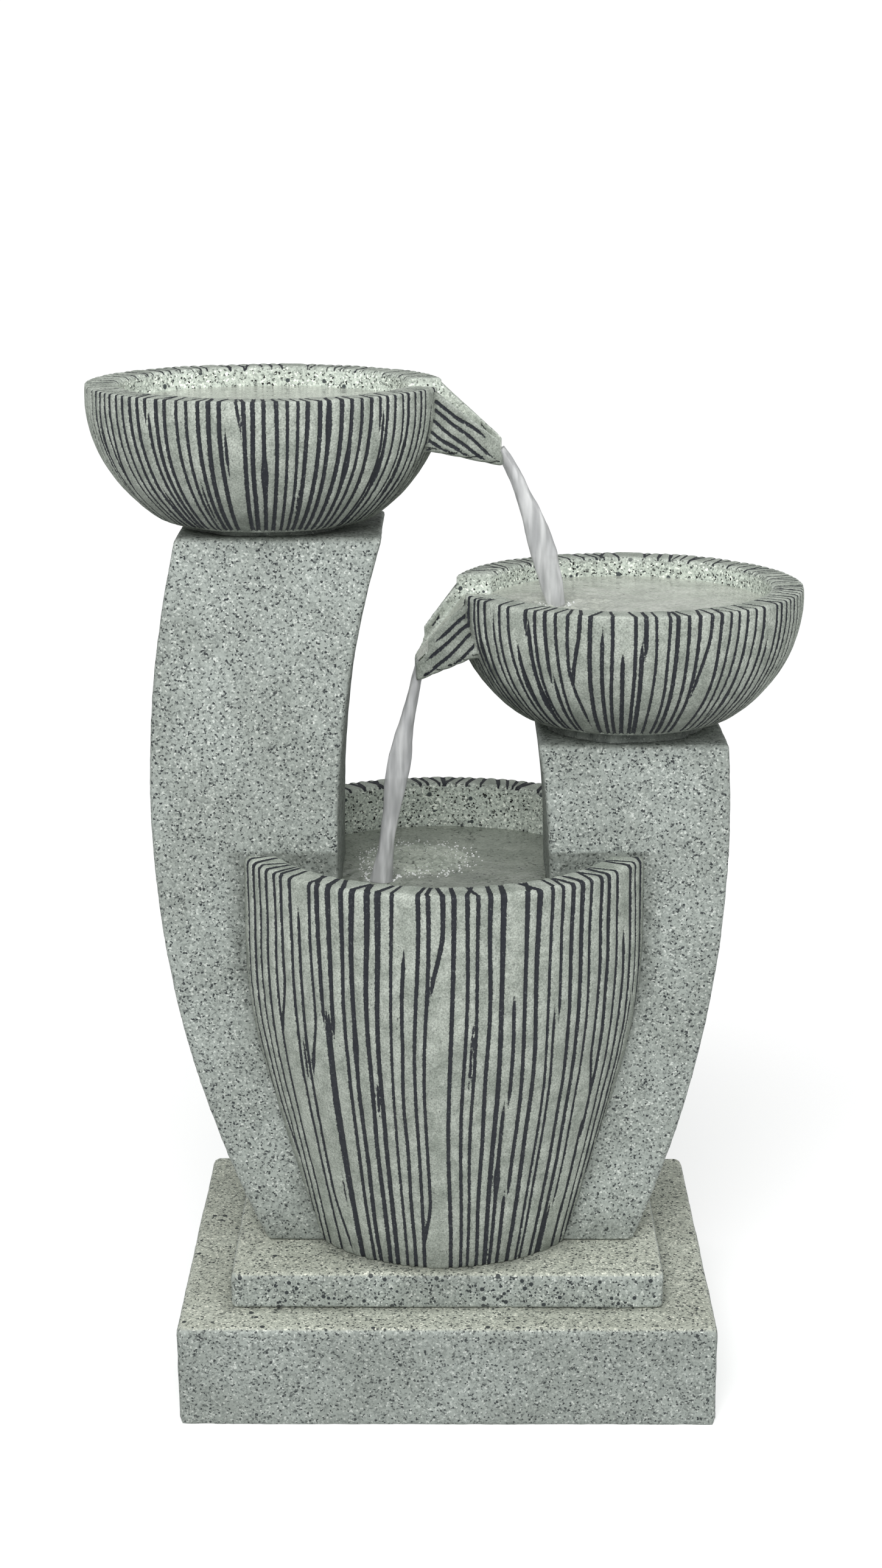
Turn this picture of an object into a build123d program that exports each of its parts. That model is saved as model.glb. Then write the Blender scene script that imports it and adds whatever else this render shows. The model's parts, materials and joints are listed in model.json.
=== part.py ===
from build123d import *
import os
from math import cos, radians, sin

# Tiered water fountain in cast stone: a stepped base carries a round pot, two crescent
# pillars stand through the pot's sides, and each pillar carries a bowl with a pouring
# spout. A pump in the pot lifts the water through the tall pillar to the top bowl.
# Origin: middle of the base on the floor. +Z is up, -Y is the front, +X is to the
# right as seen from the front. Millimetres.

# ---- base ----
slab_width = 400
slab_depth = 314
slab_height = 78
step_width = 324
step_depth = 246
step_height = 28
step_top = slab_height + step_height
base_corner = 5
base_arris = 3

# ---- pot ----
pot_x = -3
pot_rim_z = 415
pot_rim_r = 162
pot_foot_r = 113.5
pot_shoulder_z = 300     # the side turns from sloping to upright here
pot_shoulder_bend = 450
pot_wall = 24
pot_floor = 18
pot_floor_z = step_top + pot_floor
rim_round = 4

# ---- pillars: corners of their front outlines as (x, z) ----
pillar_depth = 132
pillar_arris = 2.5
tall_top = 651
short_top = 499
tall_outline = {
    "top_outer": (-195, tall_top),
    "widest_outer": (-218, 455),
    "foot_outer": (-137.5, step_top),
    "foot_inner": (-80.5, step_top),
    "widest_inner": (-80.5, 420),
    "top_inner": (-47, tall_top),
}
short_outline = {
    "top_outer": (205, short_top),
    "widest_outer": (207.5, 436),
    "foot_outer": (142, step_top),
    "foot_inner": (75, step_top),
    "widest_inner": (75, 390),
    "top_inner": (66, short_top),
}

# ---- bowls ----
bowl_x = 133             # each bowl's axis is this far from the middle
top_rim_z = 755
middle_rim_z = 607
bowl_r = 130
bowl_curve_height = 111  # upright half axis of the outer ellipse
bowl_belly_drop = 9      # widest ring, measured down from the rim
bowl_height = 99
bowl_wall = 24
bowl_floor = 16
bowl_foot_round = 30
cavity_sweep = 84        # degrees of the inner ellipse, which leaves a small flat floor

# ---- spouts: reaches are from the bowl's axis, heights are below the rim ----
spout_wall = 9
spout_mouth_drop = 17    # the water leaves the bowl over this sill
spout_tip_round = 10
spout_tip_spare = 1      # the rounding plan is this much wider than the tip on each side
spout_corner = 7
spout_overrun = 10       # cutters and buried roots run on by this much
top_spout = {
    "heading": -3,
    "root_reach": 122,
    "root_half": 37,
    "root_depth": 46,
    "tip_reach": 173,
    "tip_half": 14,
    "tip_drop": 42,
    "tip_depth": 17,
    "tip_floor": 8,
}
middle_spout = {
    "heading": 184,
    "root_reach": 117,
    "root_half": 50,
    "root_depth": 46,
    "tip_reach": 157,
    "tip_half": 17,
    "tip_drop": 44,
    "tip_depth": 26,
    "tip_floor": 12,
}

# ---- mortar beds under the bowls ----
bed_r = 58
bed_flare = 2

# ---- riser hose, its conduit and its clips ----
hose_r = 8
hose_bore_r = 6
hose_bend = 80
hose_low_turn_z = 270
hose_high_turn_z = 370
hose_top_z = tall_top - 15
conduit_r = 10
well_r = 22              # pocket in the pillar's top for the nut and the hose end
well_depth = 40
clip_thick = 1.2
clip_width = 8
clip_lug = 7
clip_screw_r = 1.5

# ---- bowl inlet fitting ----
inlet_stem_r = 9
inlet_stem_play = 0.5
inlet_stem_end_z = tall_top - 11
inlet_flange_r = 17
inlet_flange_thick = 4
inlet_flange_bevel = 1.5
inlet_bore_r = 4.5
inlet_washer_thick = 2
inlet_nut_r = 17
inlet_nut_thick = 8
barb_length = 21
barb_ridge = 0.4
barb_ridge_pitch = 5
barb_ridge_count = 3

# ---- pump: its shaft lies along Y, its outlet points up ----
pump_x = 10
pump_foot_lift = 8
pump_half = 24
pump_corner = 5
pump_axis_z = pot_floor_z + pump_foot_lift + pump_half
body_front = 12
body_back = 74
body_front_wall = 4
body_side_wall = 2.5
well_tube_r = 11.5
well_tube_wall = 2
well_tube_back = 50
well_tube_end = 4
core_height = 16
core_outer = 20
core_front = 20
core_back = 66
yoke_thick = 8
coil_half_width = 11
coil_build = 3.5
magnet_r = 10.5
magnet_front = 14
magnet_back = 47
neck_r = 6
disc_r = 16
disc_thick = 2
disc_front = -5
blade_height = 6
blade_thick = 1.6
blade_count = 6
shaft_r = 1.5
shaft_play = 0.06
shaft_front = -17.5
shaft_back = 51.5
bush_r = 3
bush_length = 4
back_bush_front = 48
chamber_r = 19
cover_r = 24
cover_front = -18
cover_wall = 4
eye_r = 9
spider_hub_r = 5
spider_arm = 2.5
spigot_r = 8
spigot_bore_r = 5
spigot_top_z = pump_axis_z + 36
outlet_r = 11
outlet_bottom_z = pump_axis_z + 26
outlet_shoulder_z = pump_axis_z + 40
seal_inner_r = 20.5
seal_outer_r = 22.5
seal_thick = 2
strainer_wall = 2
strainer_play = 0.3
strainer_front = -40
strainer_lap = 6
slot_count = 16
slot_width = 3
slot_margin = 4
dial_r = 8
dial_thick = 5
dial_grip_length = 14
dial_grip_width = 2.5
dial_grip_round = 1
dial_gap = 0.3
dial_stem_r = 2.5
dial_play = 0.08
shutter_r = 9
shutter_thick = 1.5
foot_spread_x = 15
foot_rows_y = (22, 62)
foot_cup_r = 8
foot_cup_height = 5
foot_stem_r = 3
foot_stem_depth = 2
gland_z = pump_axis_z + 12
gland_r = 7
gland_length = 10
gland_bore_r = 3

# ---- fittings in the pot's wall ----
drain_z = 142
drain_r = 8
drain_play = 0.05
drain_plug_start_y = 90
drain_head_r = 12
drain_head_y = 126
drain_head_thick = 5
drain_head_round = 1
grommet_azimuth = 134
grommet_z = 394
grommet_r = 8
grommet_flange_r = 11.5
grommet_flange_thick = 3
grommet_seat_gap = 0.6   # the flat flange stands this far off the hollow inner wall
grommet_bore_r = 3.2


def save(piece, name):
    """Label a finished piece and write it as its own STEP file."""
    piece.part.label = name
    export_step(piece.part, f"parts/{name}.step")


# ==== base ====
def stepped_block(width, depth, height, bottom_z):
    """Rectangular block with eased upright corners and an eased top arris."""
    with BuildPart(Plane.XY.offset(bottom_z)) as block:
        Box(width, depth, height, align=(Align.CENTER, Align.CENTER, Align.MIN))
        fillet(block.edges().filter_by(Axis.Z), base_corner)
        fillet(block.faces().sort_by(Axis.Z)[-1].edges(), base_arris)
    return block


save(stepped_block(slab_width, slab_depth, slab_height, 0), "base_slab")
save(stepped_block(step_width, step_depth, step_height, slab_height), "base_step")


# ==== hose route, shared by the hose and the conduit cast in the tall pillar ====
with BuildLine(Plane.XZ) as hose_route:
    FilletPolyline(
        (pump_x, outlet_shoulder_z),
        (pump_x, hose_low_turn_z),
        (-bowl_x, hose_high_turn_z),
        (-bowl_x, hose_top_z),
        radius=hose_bend,
    )
hose_start = Plane((pump_x, 0, outlet_shoulder_z))


# ==== pillars ====
def pillar_outline(points):
    """Crescent front outline. Each long side is two arcs that are upright where they
    meet, and inside the pot the inner side runs straight down."""
    with BuildLine() as outline:
        TangentArc(points["widest_outer"], points["top_outer"], tangent=(0, 1))
        Line(points["top_outer"], points["top_inner"])
        TangentArc(points["widest_inner"], points["top_inner"], tangent=(0, 1))
        Line(points["widest_inner"], points["foot_inner"])
        Line(points["foot_inner"], points["foot_outer"])
        TangentArc(points["widest_outer"], points["foot_outer"], tangent=(0, -1))
    make_face(outline.edges())


def round_pillar_edges(pillar):
    """Ease the front, back and top edges and leave the foot sharp on the step."""
    front_edges = pillar.faces().sort_by(Axis.Y)[0].edges()
    back_edges = pillar.faces().sort_by(Axis.Y)[-1].edges()
    eased = [edge for edge in front_edges + back_edges if edge.center().Z > step_top + pillar_arris]
    fillet(eased, pillar_arris)


with BuildPart() as tall_pillar:
    with BuildSketch(Plane.XZ):
        pillar_outline(tall_outline)
    extrude(amount=pillar_depth / 2, both=True)
    round_pillar_edges(tall_pillar)
    with BuildSketch(hose_start):
        Circle(conduit_r)
    sweep(path=hose_route.line, mode=Mode.SUBTRACT)
    with Locations((-bowl_x, 0, tall_top)):
        Hole(well_r, well_depth)
save(tall_pillar, "tall_pillar")

with BuildPart() as short_pillar:
    with BuildSketch(Plane.XZ):
        pillar_outline(short_outline)
    extrude(amount=pillar_depth / 2, both=True)
    round_pillar_edges(short_pillar)
save(short_pillar, "short_pillar")


# ==== pot ====
def vessel_half_section(foot_r, rim_r, bottom_z):
    """Half section of a filled vessel whose side slopes out and then stands upright."""
    with BuildLine() as outline:
        side = FilletPolyline(
            (foot_r, bottom_z), (rim_r, pot_shoulder_z), (rim_r, pot_rim_z), radius=pot_shoulder_bend
        )
        Polyline(side @ 1, (0, pot_rim_z), (0, bottom_z), side @ 0)
    make_face(outline.edges())


def drain_plane(y):
    return Plane(origin=(pot_x, y, drain_z), x_dir=(-1, 0, 0), z_dir=(0, 1, 0))


def grommet_plane(reach):
    """Upright plane facing outward through the pot's wall, at a distance from its axis."""
    turn = radians(grommet_azimuth)
    outward = (cos(turn), sin(turn), 0)
    origin = (pot_x + reach * outward[0], reach * outward[1], grommet_z)
    return Plane(origin=origin, x_dir=(-sin(turn), cos(turn), 0), z_dir=outward)


pot_axis = Axis((pot_x, 0, 0), (0, 0, 1))
pot_section_plane = Plane(origin=(pot_x, 0, 0), x_dir=(1, 0, 0), z_dir=(0, -1, 0))
with BuildPart() as pot:
    with BuildSketch(pot_section_plane):
        vessel_half_section(pot_foot_r, pot_rim_r, step_top)
    revolve(axis=pot_axis)
    with BuildSketch(pot_section_plane):
        vessel_half_section(pot_foot_r - pot_wall, pot_rim_r - pot_wall, pot_floor_z)
    revolve(axis=pot_axis, mode=Mode.SUBTRACT)
    fillet(pot.edges().group_by(Axis.Z)[-1], rim_round)
    with BuildSketch(Plane.XZ):
        pillar_outline(tall_outline)
        pillar_outline(short_outline)
    extrude(amount=pillar_depth / 2, both=True, mode=Mode.SUBTRACT)
    with BuildSketch(drain_plane(0)):
        Circle(drain_r)
    extrude(amount=pot_rim_r, mode=Mode.SUBTRACT)
    with BuildSketch(grommet_plane(0)):
        Circle(grommet_r)
    extrude(amount=pot_rim_r + rim_round, mode=Mode.SUBTRACT)
save(pot, "pot")

with BuildPart() as drain_plug:
    with BuildSketch(drain_plane(drain_plug_start_y)):
        Circle(drain_r - drain_play)
    extrude(amount=drain_head_y - drain_plug_start_y)
    with BuildSketch(drain_plane(drain_head_y)):
        Circle(drain_head_r)
    extrude(amount=drain_head_thick)
    fillet(drain_plug.edges().sort_by(Axis.Y)[-1], drain_head_round)
save(drain_plug, "drain_plug")

with BuildPart() as cable_grommet:
    inner_face_reach = pot_rim_r - pot_wall - grommet_seat_gap
    with BuildSketch(grommet_plane(inner_face_reach - grommet_flange_thick)):
        Circle(grommet_flange_r)
    extrude(amount=grommet_flange_thick)
    with BuildSketch(grommet_plane(inner_face_reach)):
        Circle(grommet_r)
    extrude(amount=pot_rim_r - inner_face_reach)
    with BuildSketch(grommet_plane(pot_rim_r)):
        Circle(grommet_flange_r)
    extrude(amount=grommet_flange_thick)
    with BuildSketch(grommet_plane(0)):
        Circle(grommet_bore_r)
    extrude(amount=pot_rim_r + 2 * grommet_flange_thick, mode=Mode.SUBTRACT)
save(cable_grommet, "cable_grommet")


# ==== bowls and their mortar beds ====
def bowl_half_section():
    """Filled half section: an ellipse from the rim down to a flat foot."""
    with BuildSketch() as section:
        with Locations((0, -bowl_belly_drop)):
            Ellipse(bowl_r, bowl_curve_height)
        with Locations((bowl_r, -bowl_height / 2)):
            Rectangle(2 * bowl_r, bowl_height, mode=Mode.INTERSECT)
        outer_corners = section.vertices().sort_by(Axis.X)
        foot_corner = outer_corners.filter_by(lambda v: v.Y < -bowl_belly_drop and v.X > bowl_foot_round)
        rim_corner = outer_corners.filter_by(lambda v: v.Y > -bowl_belly_drop and v.X > bowl_foot_round)
        fillet(foot_corner, bowl_foot_round)
        fillet(rim_corner, rim_round)
    return section.sketch


def cavity_half_section():
    """Half section of the bowl's inside, flared where the rim is rounded."""
    inner_r = bowl_r - bowl_wall
    inner_depth = bowl_height - bowl_floor
    curve_height = (inner_depth - bowl_belly_drop) / sin(radians(cavity_sweep))
    with BuildLine() as outline:
        CenterArc((inner_r + rim_round, -rim_round), rim_round, 90, 90)
        Line((inner_r, -rim_round), (inner_r, -bowl_belly_drop))
        floor_edge = EllipticalCenterArc(
            (0, -bowl_belly_drop), inner_r, curve_height, -cavity_sweep, arc_size=cavity_sweep
        )
        Polyline(floor_edge @ 0, (0, -inner_depth), (0, 0), (inner_r + rim_round, 0))
    make_face(outline.edges())


def spout_plane(axis_x, rim_z, heading, reach):
    """Upright plane across a spout. Its x runs sideways and its y runs up."""
    turn = radians(heading)
    outward = (cos(turn), sin(turn), 0)
    origin = (axis_x + reach * outward[0], reach * outward[1], rim_z)
    return Plane(origin=origin, x_dir=(-sin(turn), cos(turn), 0), z_dir=outward)


def trough_section(half_width, top, bottom):
    """Upright rectangle with both lower corners rounded."""
    with BuildLine() as outline:
        sides = FilletPolyline(
            (-half_width, top),
            (-half_width, bottom),
            (half_width, bottom),
            (half_width, top),
            radius=min(spout_corner, half_width / 2),
        )
        Line(sides @ 1, sides @ 0)
    make_face(outline.edges())


def spout_plan(spout):
    """Plan outline that rounds off the corners of a spout's tip and leaves its sides."""
    buried_reach = spout["root_reach"] - spout_overrun
    buried_half = spout["root_half"] + spout_overrun
    tip_half = spout["tip_half"] + spout_tip_spare
    with BuildLine() as outline:
        sides = FilletPolyline(
            (buried_reach, buried_half),
            (spout["tip_reach"], tip_half),
            (spout["tip_reach"], -tip_half),
            (buried_reach, -buried_half),
            radius=spout_tip_round,
        )
        Line(sides @ 1, sides @ 0)
    make_face(outline.edges())


def bowl_with_spout(axis_x, rim_z, spout, has_inlet):
    """One bowl casting: a round bowl and the open trough that pours from it."""
    def across(reach):
        return spout_plane(axis_x, rim_z, spout["heading"], reach)

    root_reach = spout["root_reach"]
    tip_reach = spout["tip_reach"]
    tip_bottom = -spout["tip_drop"] - spout["tip_depth"]
    tip_sill = tip_bottom + spout["tip_floor"]
    root_sill = -spout_mouth_drop
    sill_slope = (tip_sill - root_sill) / (tip_reach - root_reach)
    channel_root = spout["root_half"] - spout_wall
    channel_tip = spout["tip_half"] - spout_wall / 2
    above_rim = rim_round

    with BuildPart() as blank:
        with BuildSketch(across(root_reach)):
            trough_section(spout["root_half"], 0, -spout["root_depth"])
        with BuildSketch(across(tip_reach)):
            trough_section(spout["tip_half"], -spout["tip_drop"], tip_bottom)
        loft(ruled=True)
        with BuildSketch(across(root_reach)):
            trough_section(spout["root_half"], 0, -spout["root_depth"])
        extrude(amount=-spout_overrun)
        with BuildSketch(Plane(origin=(axis_x, 0, rim_z), x_dir=across(0).z_dir)):
            spout_plan(spout)
        extrude(amount=bowl_height, both=True, mode=Mode.INTERSECT)

    with BuildPart() as channel:
        with BuildSketch(across(root_reach)):
            trough_section(channel_root, above_rim, root_sill)
        with BuildSketch(across(tip_reach + spout_overrun)):
            trough_section(channel_tip, above_rim, tip_sill + sill_slope * spout_overrun)
        loft(ruled=True)
        with BuildSketch(across(root_reach)):
            trough_section(channel_root, above_rim, root_sill)
        extrude(amount=-2 * bowl_wall)

    section_plane = Plane(origin=(axis_x, 0, rim_z), x_dir=(1, 0, 0), z_dir=(0, -1, 0))
    axis = Axis((axis_x, 0, 0), (0, 0, 1))
    with BuildPart() as bowl:
        with BuildSketch(section_plane):
            add(bowl_half_section())
        revolve(axis=axis)
        add(blank.part)
        with BuildSketch(section_plane):
            cavity_half_section()
        revolve(axis=axis, mode=Mode.SUBTRACT)
        add(channel.part, mode=Mode.SUBTRACT)
        if has_inlet:
            floor_z = rim_z - bowl_height + bowl_floor
            with Locations((axis_x, 0, rim_z)):
                Hole(inlet_stem_r + inlet_stem_play)
            with Locations((axis_x, 0, floor_z + inlet_washer_thick)):
                Hole(inlet_flange_r + inlet_washer_thick, inlet_washer_thick)
    return bowl


def mortar_bed(axis_x, bottom_z, top_z, hole_r):
    """Flared disc of mortar between a pillar's top and its bowl's foot."""
    with BuildPart(Plane((axis_x, 0, bottom_z))) as bed:
        Cone(bed_r, bed_r - bed_flare, top_z - bottom_z, align=(Align.CENTER, Align.CENTER, Align.MIN))
        if hole_r:
            Hole(hole_r)
    return bed


top_foot_z = top_rim_z - bowl_height
top_floor_z = top_foot_z + bowl_floor
middle_foot_z = middle_rim_z - bowl_height
save(bowl_with_spout(-bowl_x, top_rim_z, top_spout, True), "top_bowl")
save(bowl_with_spout(bowl_x, middle_rim_z, middle_spout, False), "middle_bowl")

save(mortar_bed(-bowl_x, tall_top, top_foot_z, well_r), "top_bowl_bedding")
save(mortar_bed(bowl_x, short_top, middle_foot_z, 0), "middle_bowl_bedding")


# ==== riser hose and clips ====
with BuildPart() as riser_hose:
    with BuildSketch(hose_start):
        Circle(hose_r)
        Circle(hose_bore_r, mode=Mode.SUBTRACT)
    sweep(path=hose_route.line)
save(riser_hose, "riser_hose")


def hose_clip(x, middle_z):
    """Band round the hose with a square lug for its screw."""
    with BuildPart() as clip:
        with BuildSketch(Plane((x, 0, middle_z - clip_width / 2))):
            Circle(hose_r + clip_thick)
            with Locations((hose_r + clip_lug / 2, 0)):
                Rectangle(clip_lug, clip_lug)
            Circle(hose_r, mode=Mode.SUBTRACT)
        extrude(amount=clip_width)
        with BuildSketch(Plane.XZ):
            with Locations((x + hose_r + clip_lug / 2 + clip_thick, middle_z)):
                Circle(clip_screw_r)
        extrude(amount=clip_lug, both=True, mode=Mode.SUBTRACT)
    return clip


save(hose_clip(pump_x, outlet_shoulder_z + barb_length / 2), "lower_hose_clip")
save(hose_clip(-bowl_x, hose_top_z - clip_width), "upper_hose_clip")


# ==== bowl inlet fitting ====
def barb_half_section(base_z, end_z):
    """Half section of a hose tail from its shoulder to its end, with ridges."""
    toward_end = 1 if end_z > base_z else -1
    outline_points = [(0, base_z), (hose_bore_r, base_z)]
    for ridge in range(barb_ridge_count):
        ridge_z = base_z + toward_end * (ridge + 1) * barb_ridge_pitch
        outline_points.append((hose_bore_r, ridge_z))
        outline_points.append((hose_bore_r + barb_ridge, ridge_z))
        outline_points.append((hose_bore_r, ridge_z + toward_end * barb_ridge_pitch / 2))
    outline_points += [(hose_bore_r, end_z), (0, end_z)]
    with BuildLine() as outline:
        Polyline(*outline_points, close=True)
    make_face(outline.edges())


def upright_section(x):
    return Plane(origin=(x, 0, 0), x_dir=(1, 0, 0), z_dir=(0, -1, 0))


flange_z = top_floor_z + inlet_washer_thick
inlet_axis = Axis((-bowl_x, 0, 0), (0, 0, 1))
with BuildPart() as bowl_inlet:
    with BuildSketch(upright_section(-bowl_x)):
        barb_half_section(inlet_stem_end_z, inlet_stem_end_z - barb_length)
    revolve(axis=inlet_axis)
    with BuildSketch(Plane((-bowl_x, 0, inlet_stem_end_z))):
        Circle(inlet_stem_r)
    extrude(amount=flange_z - inlet_stem_end_z)
    with BuildSketch(Plane((-bowl_x, 0, flange_z))):
        Circle(inlet_flange_r)
    extrude(amount=inlet_flange_thick)
    chamfer(bowl_inlet.edges().sort_by(Axis.Z)[-1], inlet_flange_bevel)
    with Locations((-bowl_x, 0, flange_z + inlet_flange_thick)):
        Hole(inlet_bore_r)
save(bowl_inlet, "bowl_inlet")

with BuildPart() as bowl_inlet_washer:
    with BuildSketch(Plane((-bowl_x, 0, top_floor_z))):
        Circle(inlet_flange_r)
        Circle(inlet_stem_r, mode=Mode.SUBTRACT)
    extrude(amount=inlet_washer_thick)
save(bowl_inlet_washer, "bowl_inlet_washer")

with BuildPart() as bowl_inlet_nut:
    with BuildSketch(Plane((-bowl_x, 0, top_foot_z - inlet_nut_thick))):
        RegularPolygon(inlet_nut_r, 6)
        Circle(inlet_stem_r, mode=Mode.SUBTRACT)
    extrude(amount=inlet_nut_thick)
save(bowl_inlet_nut, "bowl_inlet_nut")


# ==== pump ====
def pump_plane(y):
    """Upright plane across the pump's shaft. Extrusions from it run to the back."""
    return Plane(origin=(pump_x, y, pump_axis_z), x_dir=(-1, 0, 0), z_dir=(0, 1, 0))


body_inner_half = pump_half - body_side_wall
tube_outer_r = well_tube_r + well_tube_wall
tube_closed_y = well_tube_back + well_tube_end
feet_x = (pump_x - foot_spread_x, pump_x + foot_spread_x)
foot_places = [(x, y) for x in feet_x for y in foot_rows_y]
pump_bottom_z = pump_axis_z - pump_half

with BuildPart() as pump_body:
    with BuildSketch(pump_plane(body_front)):
        RectangleRounded(2 * pump_half, 2 * pump_half, pump_corner)
    extrude(amount=body_back - body_front)
    with BuildSketch(pump_plane(body_front + body_front_wall)):
        RectangleRounded(2 * body_inner_half, 2 * body_inner_half, pump_corner - body_side_wall)
    extrude(amount=body_back - body_front - body_front_wall, mode=Mode.SUBTRACT)
    with BuildSketch(pump_plane(body_front)):
        Circle(tube_outer_r)
    extrude(amount=tube_closed_y - body_front)
    with BuildSketch(pump_plane(body_front)):
        Circle(well_tube_r)
    extrude(amount=well_tube_back - body_front, mode=Mode.SUBTRACT)
    with BuildSketch(pump_plane(well_tube_back)):
        Circle(bush_r)
    extrude(amount=back_bush_front + bush_length - well_tube_back, mode=Mode.SUBTRACT)
    with BuildSketch(pump_plane(body_front)):
        Circle(seal_outer_r)
        Circle(seal_inner_r, mode=Mode.SUBTRACT)
    extrude(amount=seal_thick, mode=Mode.SUBTRACT)
    with BuildSketch(Plane.XY.offset(pump_bottom_z)):
        with Locations(*foot_places):
            Circle(foot_stem_r)
    extrude(amount=foot_stem_depth, mode=Mode.SUBTRACT)
save(pump_body, "pump_body")

with BuildPart() as pump_stator_core:
    with BuildSketch(Plane((pump_x, 0, pump_axis_z - core_height / 2))):
        with Locations((0, (core_front + core_back) / 2)):
            Rectangle(2 * core_outer, core_back - core_front)
        with Locations((0, (core_front + core_back - yoke_thick) / 2)):
            Rectangle(2 * well_tube_r, core_back - yoke_thick - core_front, mode=Mode.SUBTRACT)
    extrude(amount=core_height)
    with BuildSketch(pump_plane(0)):
        Circle(tube_outer_r)
    extrude(amount=core_back - yoke_thick, mode=Mode.SUBTRACT)
save(pump_stator_core, "pump_stator_core")

yoke_middle_y = core_back - yoke_thick / 2
with BuildPart() as pump_coil:
    with BuildSketch(Plane.YZ.offset(pump_x - coil_half_width)):
        with Locations((yoke_middle_y, pump_axis_z)):
            Rectangle(yoke_thick + 2 * coil_build, core_height + 2 * coil_build)
            Rectangle(yoke_thick, core_height, mode=Mode.SUBTRACT)
    extrude(amount=2 * coil_half_width)
save(pump_coil, "pump_coil")

with BuildPart() as pump_potting:
    with BuildSketch(pump_plane(body_front + body_front_wall)):
        RectangleRounded(2 * body_inner_half, 2 * body_inner_half, pump_corner - body_side_wall)
    extrude(amount=body_back - body_front - body_front_wall)
    with BuildSketch(pump_plane(body_front)):
        Circle(tube_outer_r)
    extrude(amount=tube_closed_y - body_front, mode=Mode.SUBTRACT)
    add(pump_stator_core.part, mode=Mode.SUBTRACT)
    add(pump_coil.part, mode=Mode.SUBTRACT)
save(pump_potting, "pump_potting")

with BuildPart() as pump_seal:
    with BuildSketch(pump_plane(body_front)):
        Circle(seal_outer_r)
        Circle(seal_inner_r, mode=Mode.SUBTRACT)
    extrude(amount=seal_thick)
save(pump_seal, "pump_seal")

with BuildPart() as pump_chamber_cover:
    with BuildSketch(pump_plane(cover_front)):
        Circle(cover_r)
    extrude(amount=body_front - cover_front)
    with BuildSketch(Plane((pump_x, 0, pump_axis_z))):
        Circle(spigot_r)
    extrude(amount=spigot_top_z - pump_axis_z)
    with BuildSketch(pump_plane(cover_front + cover_wall)):
        Circle(chamber_r)
    extrude(amount=body_front - cover_front - cover_wall, mode=Mode.SUBTRACT)
    with BuildSketch(pump_plane(cover_front)):
        Circle(eye_r)
    extrude(amount=cover_wall, mode=Mode.SUBTRACT)
    with BuildSketch(Plane((pump_x, 0, pump_axis_z))):
        Circle(spigot_bore_r)
    extrude(amount=spigot_top_z - pump_axis_z, mode=Mode.SUBTRACT)
    with BuildSketch(pump_plane(cover_front)):
        Rectangle(2 * eye_r + spider_arm, spider_arm)
        Rectangle(spider_arm, 2 * eye_r + spider_arm)
        Circle(spider_hub_r)
        Circle(bush_r, mode=Mode.SUBTRACT)
    extrude(amount=cover_wall)
save(pump_chamber_cover, "pump_chamber_cover")

with BuildPart() as pump_shaft:
    with BuildSketch(pump_plane(shaft_front)):
        Circle(shaft_r)
    extrude(amount=shaft_back - shaft_front)
save(pump_shaft, "pump_shaft")

with BuildPart() as pump_shaft_bushes:
    for bush_y in (cover_front, back_bush_front):
        with BuildSketch(pump_plane(bush_y)):
            Circle(bush_r)
            Circle(shaft_r, mode=Mode.SUBTRACT)
        extrude(amount=bush_length)
save(pump_shaft_bushes, "pump_shaft_bushes")

with BuildPart() as pump_rotor:
    with BuildSketch(pump_plane(magnet_front)):
        Circle(magnet_r)
    extrude(amount=magnet_back - magnet_front)
    with BuildSketch(pump_plane(disc_front - blade_height)):
        Circle(neck_r)
    extrude(amount=magnet_front - disc_front + blade_height)
    with BuildSketch(pump_plane(disc_front)):
        Circle(disc_r)
    extrude(amount=disc_thick)
    with BuildSketch(pump_plane(disc_front - blade_height)):
        with PolarLocations((neck_r + disc_r) / 2, blade_count):
            Rectangle(disc_r - neck_r + blade_thick, blade_thick)
        Circle(disc_r + blade_thick)
        Circle(disc_r, mode=Mode.INTERSECT)
    extrude(amount=blade_height)
    with BuildSketch(pump_plane(disc_front - blade_height)):
        Circle(shaft_r + shaft_play)
    extrude(amount=magnet_back - disc_front + blade_height, mode=Mode.SUBTRACT)
save(pump_rotor, "pump_rotor")

outlet_axis = Axis((pump_x, 0, 0), (0, 0, 1))
with BuildPart() as pump_outlet:
    with BuildSketch(Plane((pump_x, 0, outlet_bottom_z))):
        Circle(outlet_r)
    extrude(amount=outlet_shoulder_z - outlet_bottom_z)
    with BuildSketch(upright_section(pump_x)):
        barb_half_section(outlet_shoulder_z, outlet_shoulder_z + barb_length)
    revolve(axis=outlet_axis)
    with Locations((pump_x, 0, outlet_shoulder_z + barb_length)):
        Hole(inlet_bore_r)
    with BuildSketch(Plane((pump_x, 0, outlet_bottom_z))):
        Circle(spigot_r)
    extrude(amount=spigot_top_z - outlet_bottom_z, mode=Mode.SUBTRACT)
save(pump_outlet, "pump_outlet")

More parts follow.
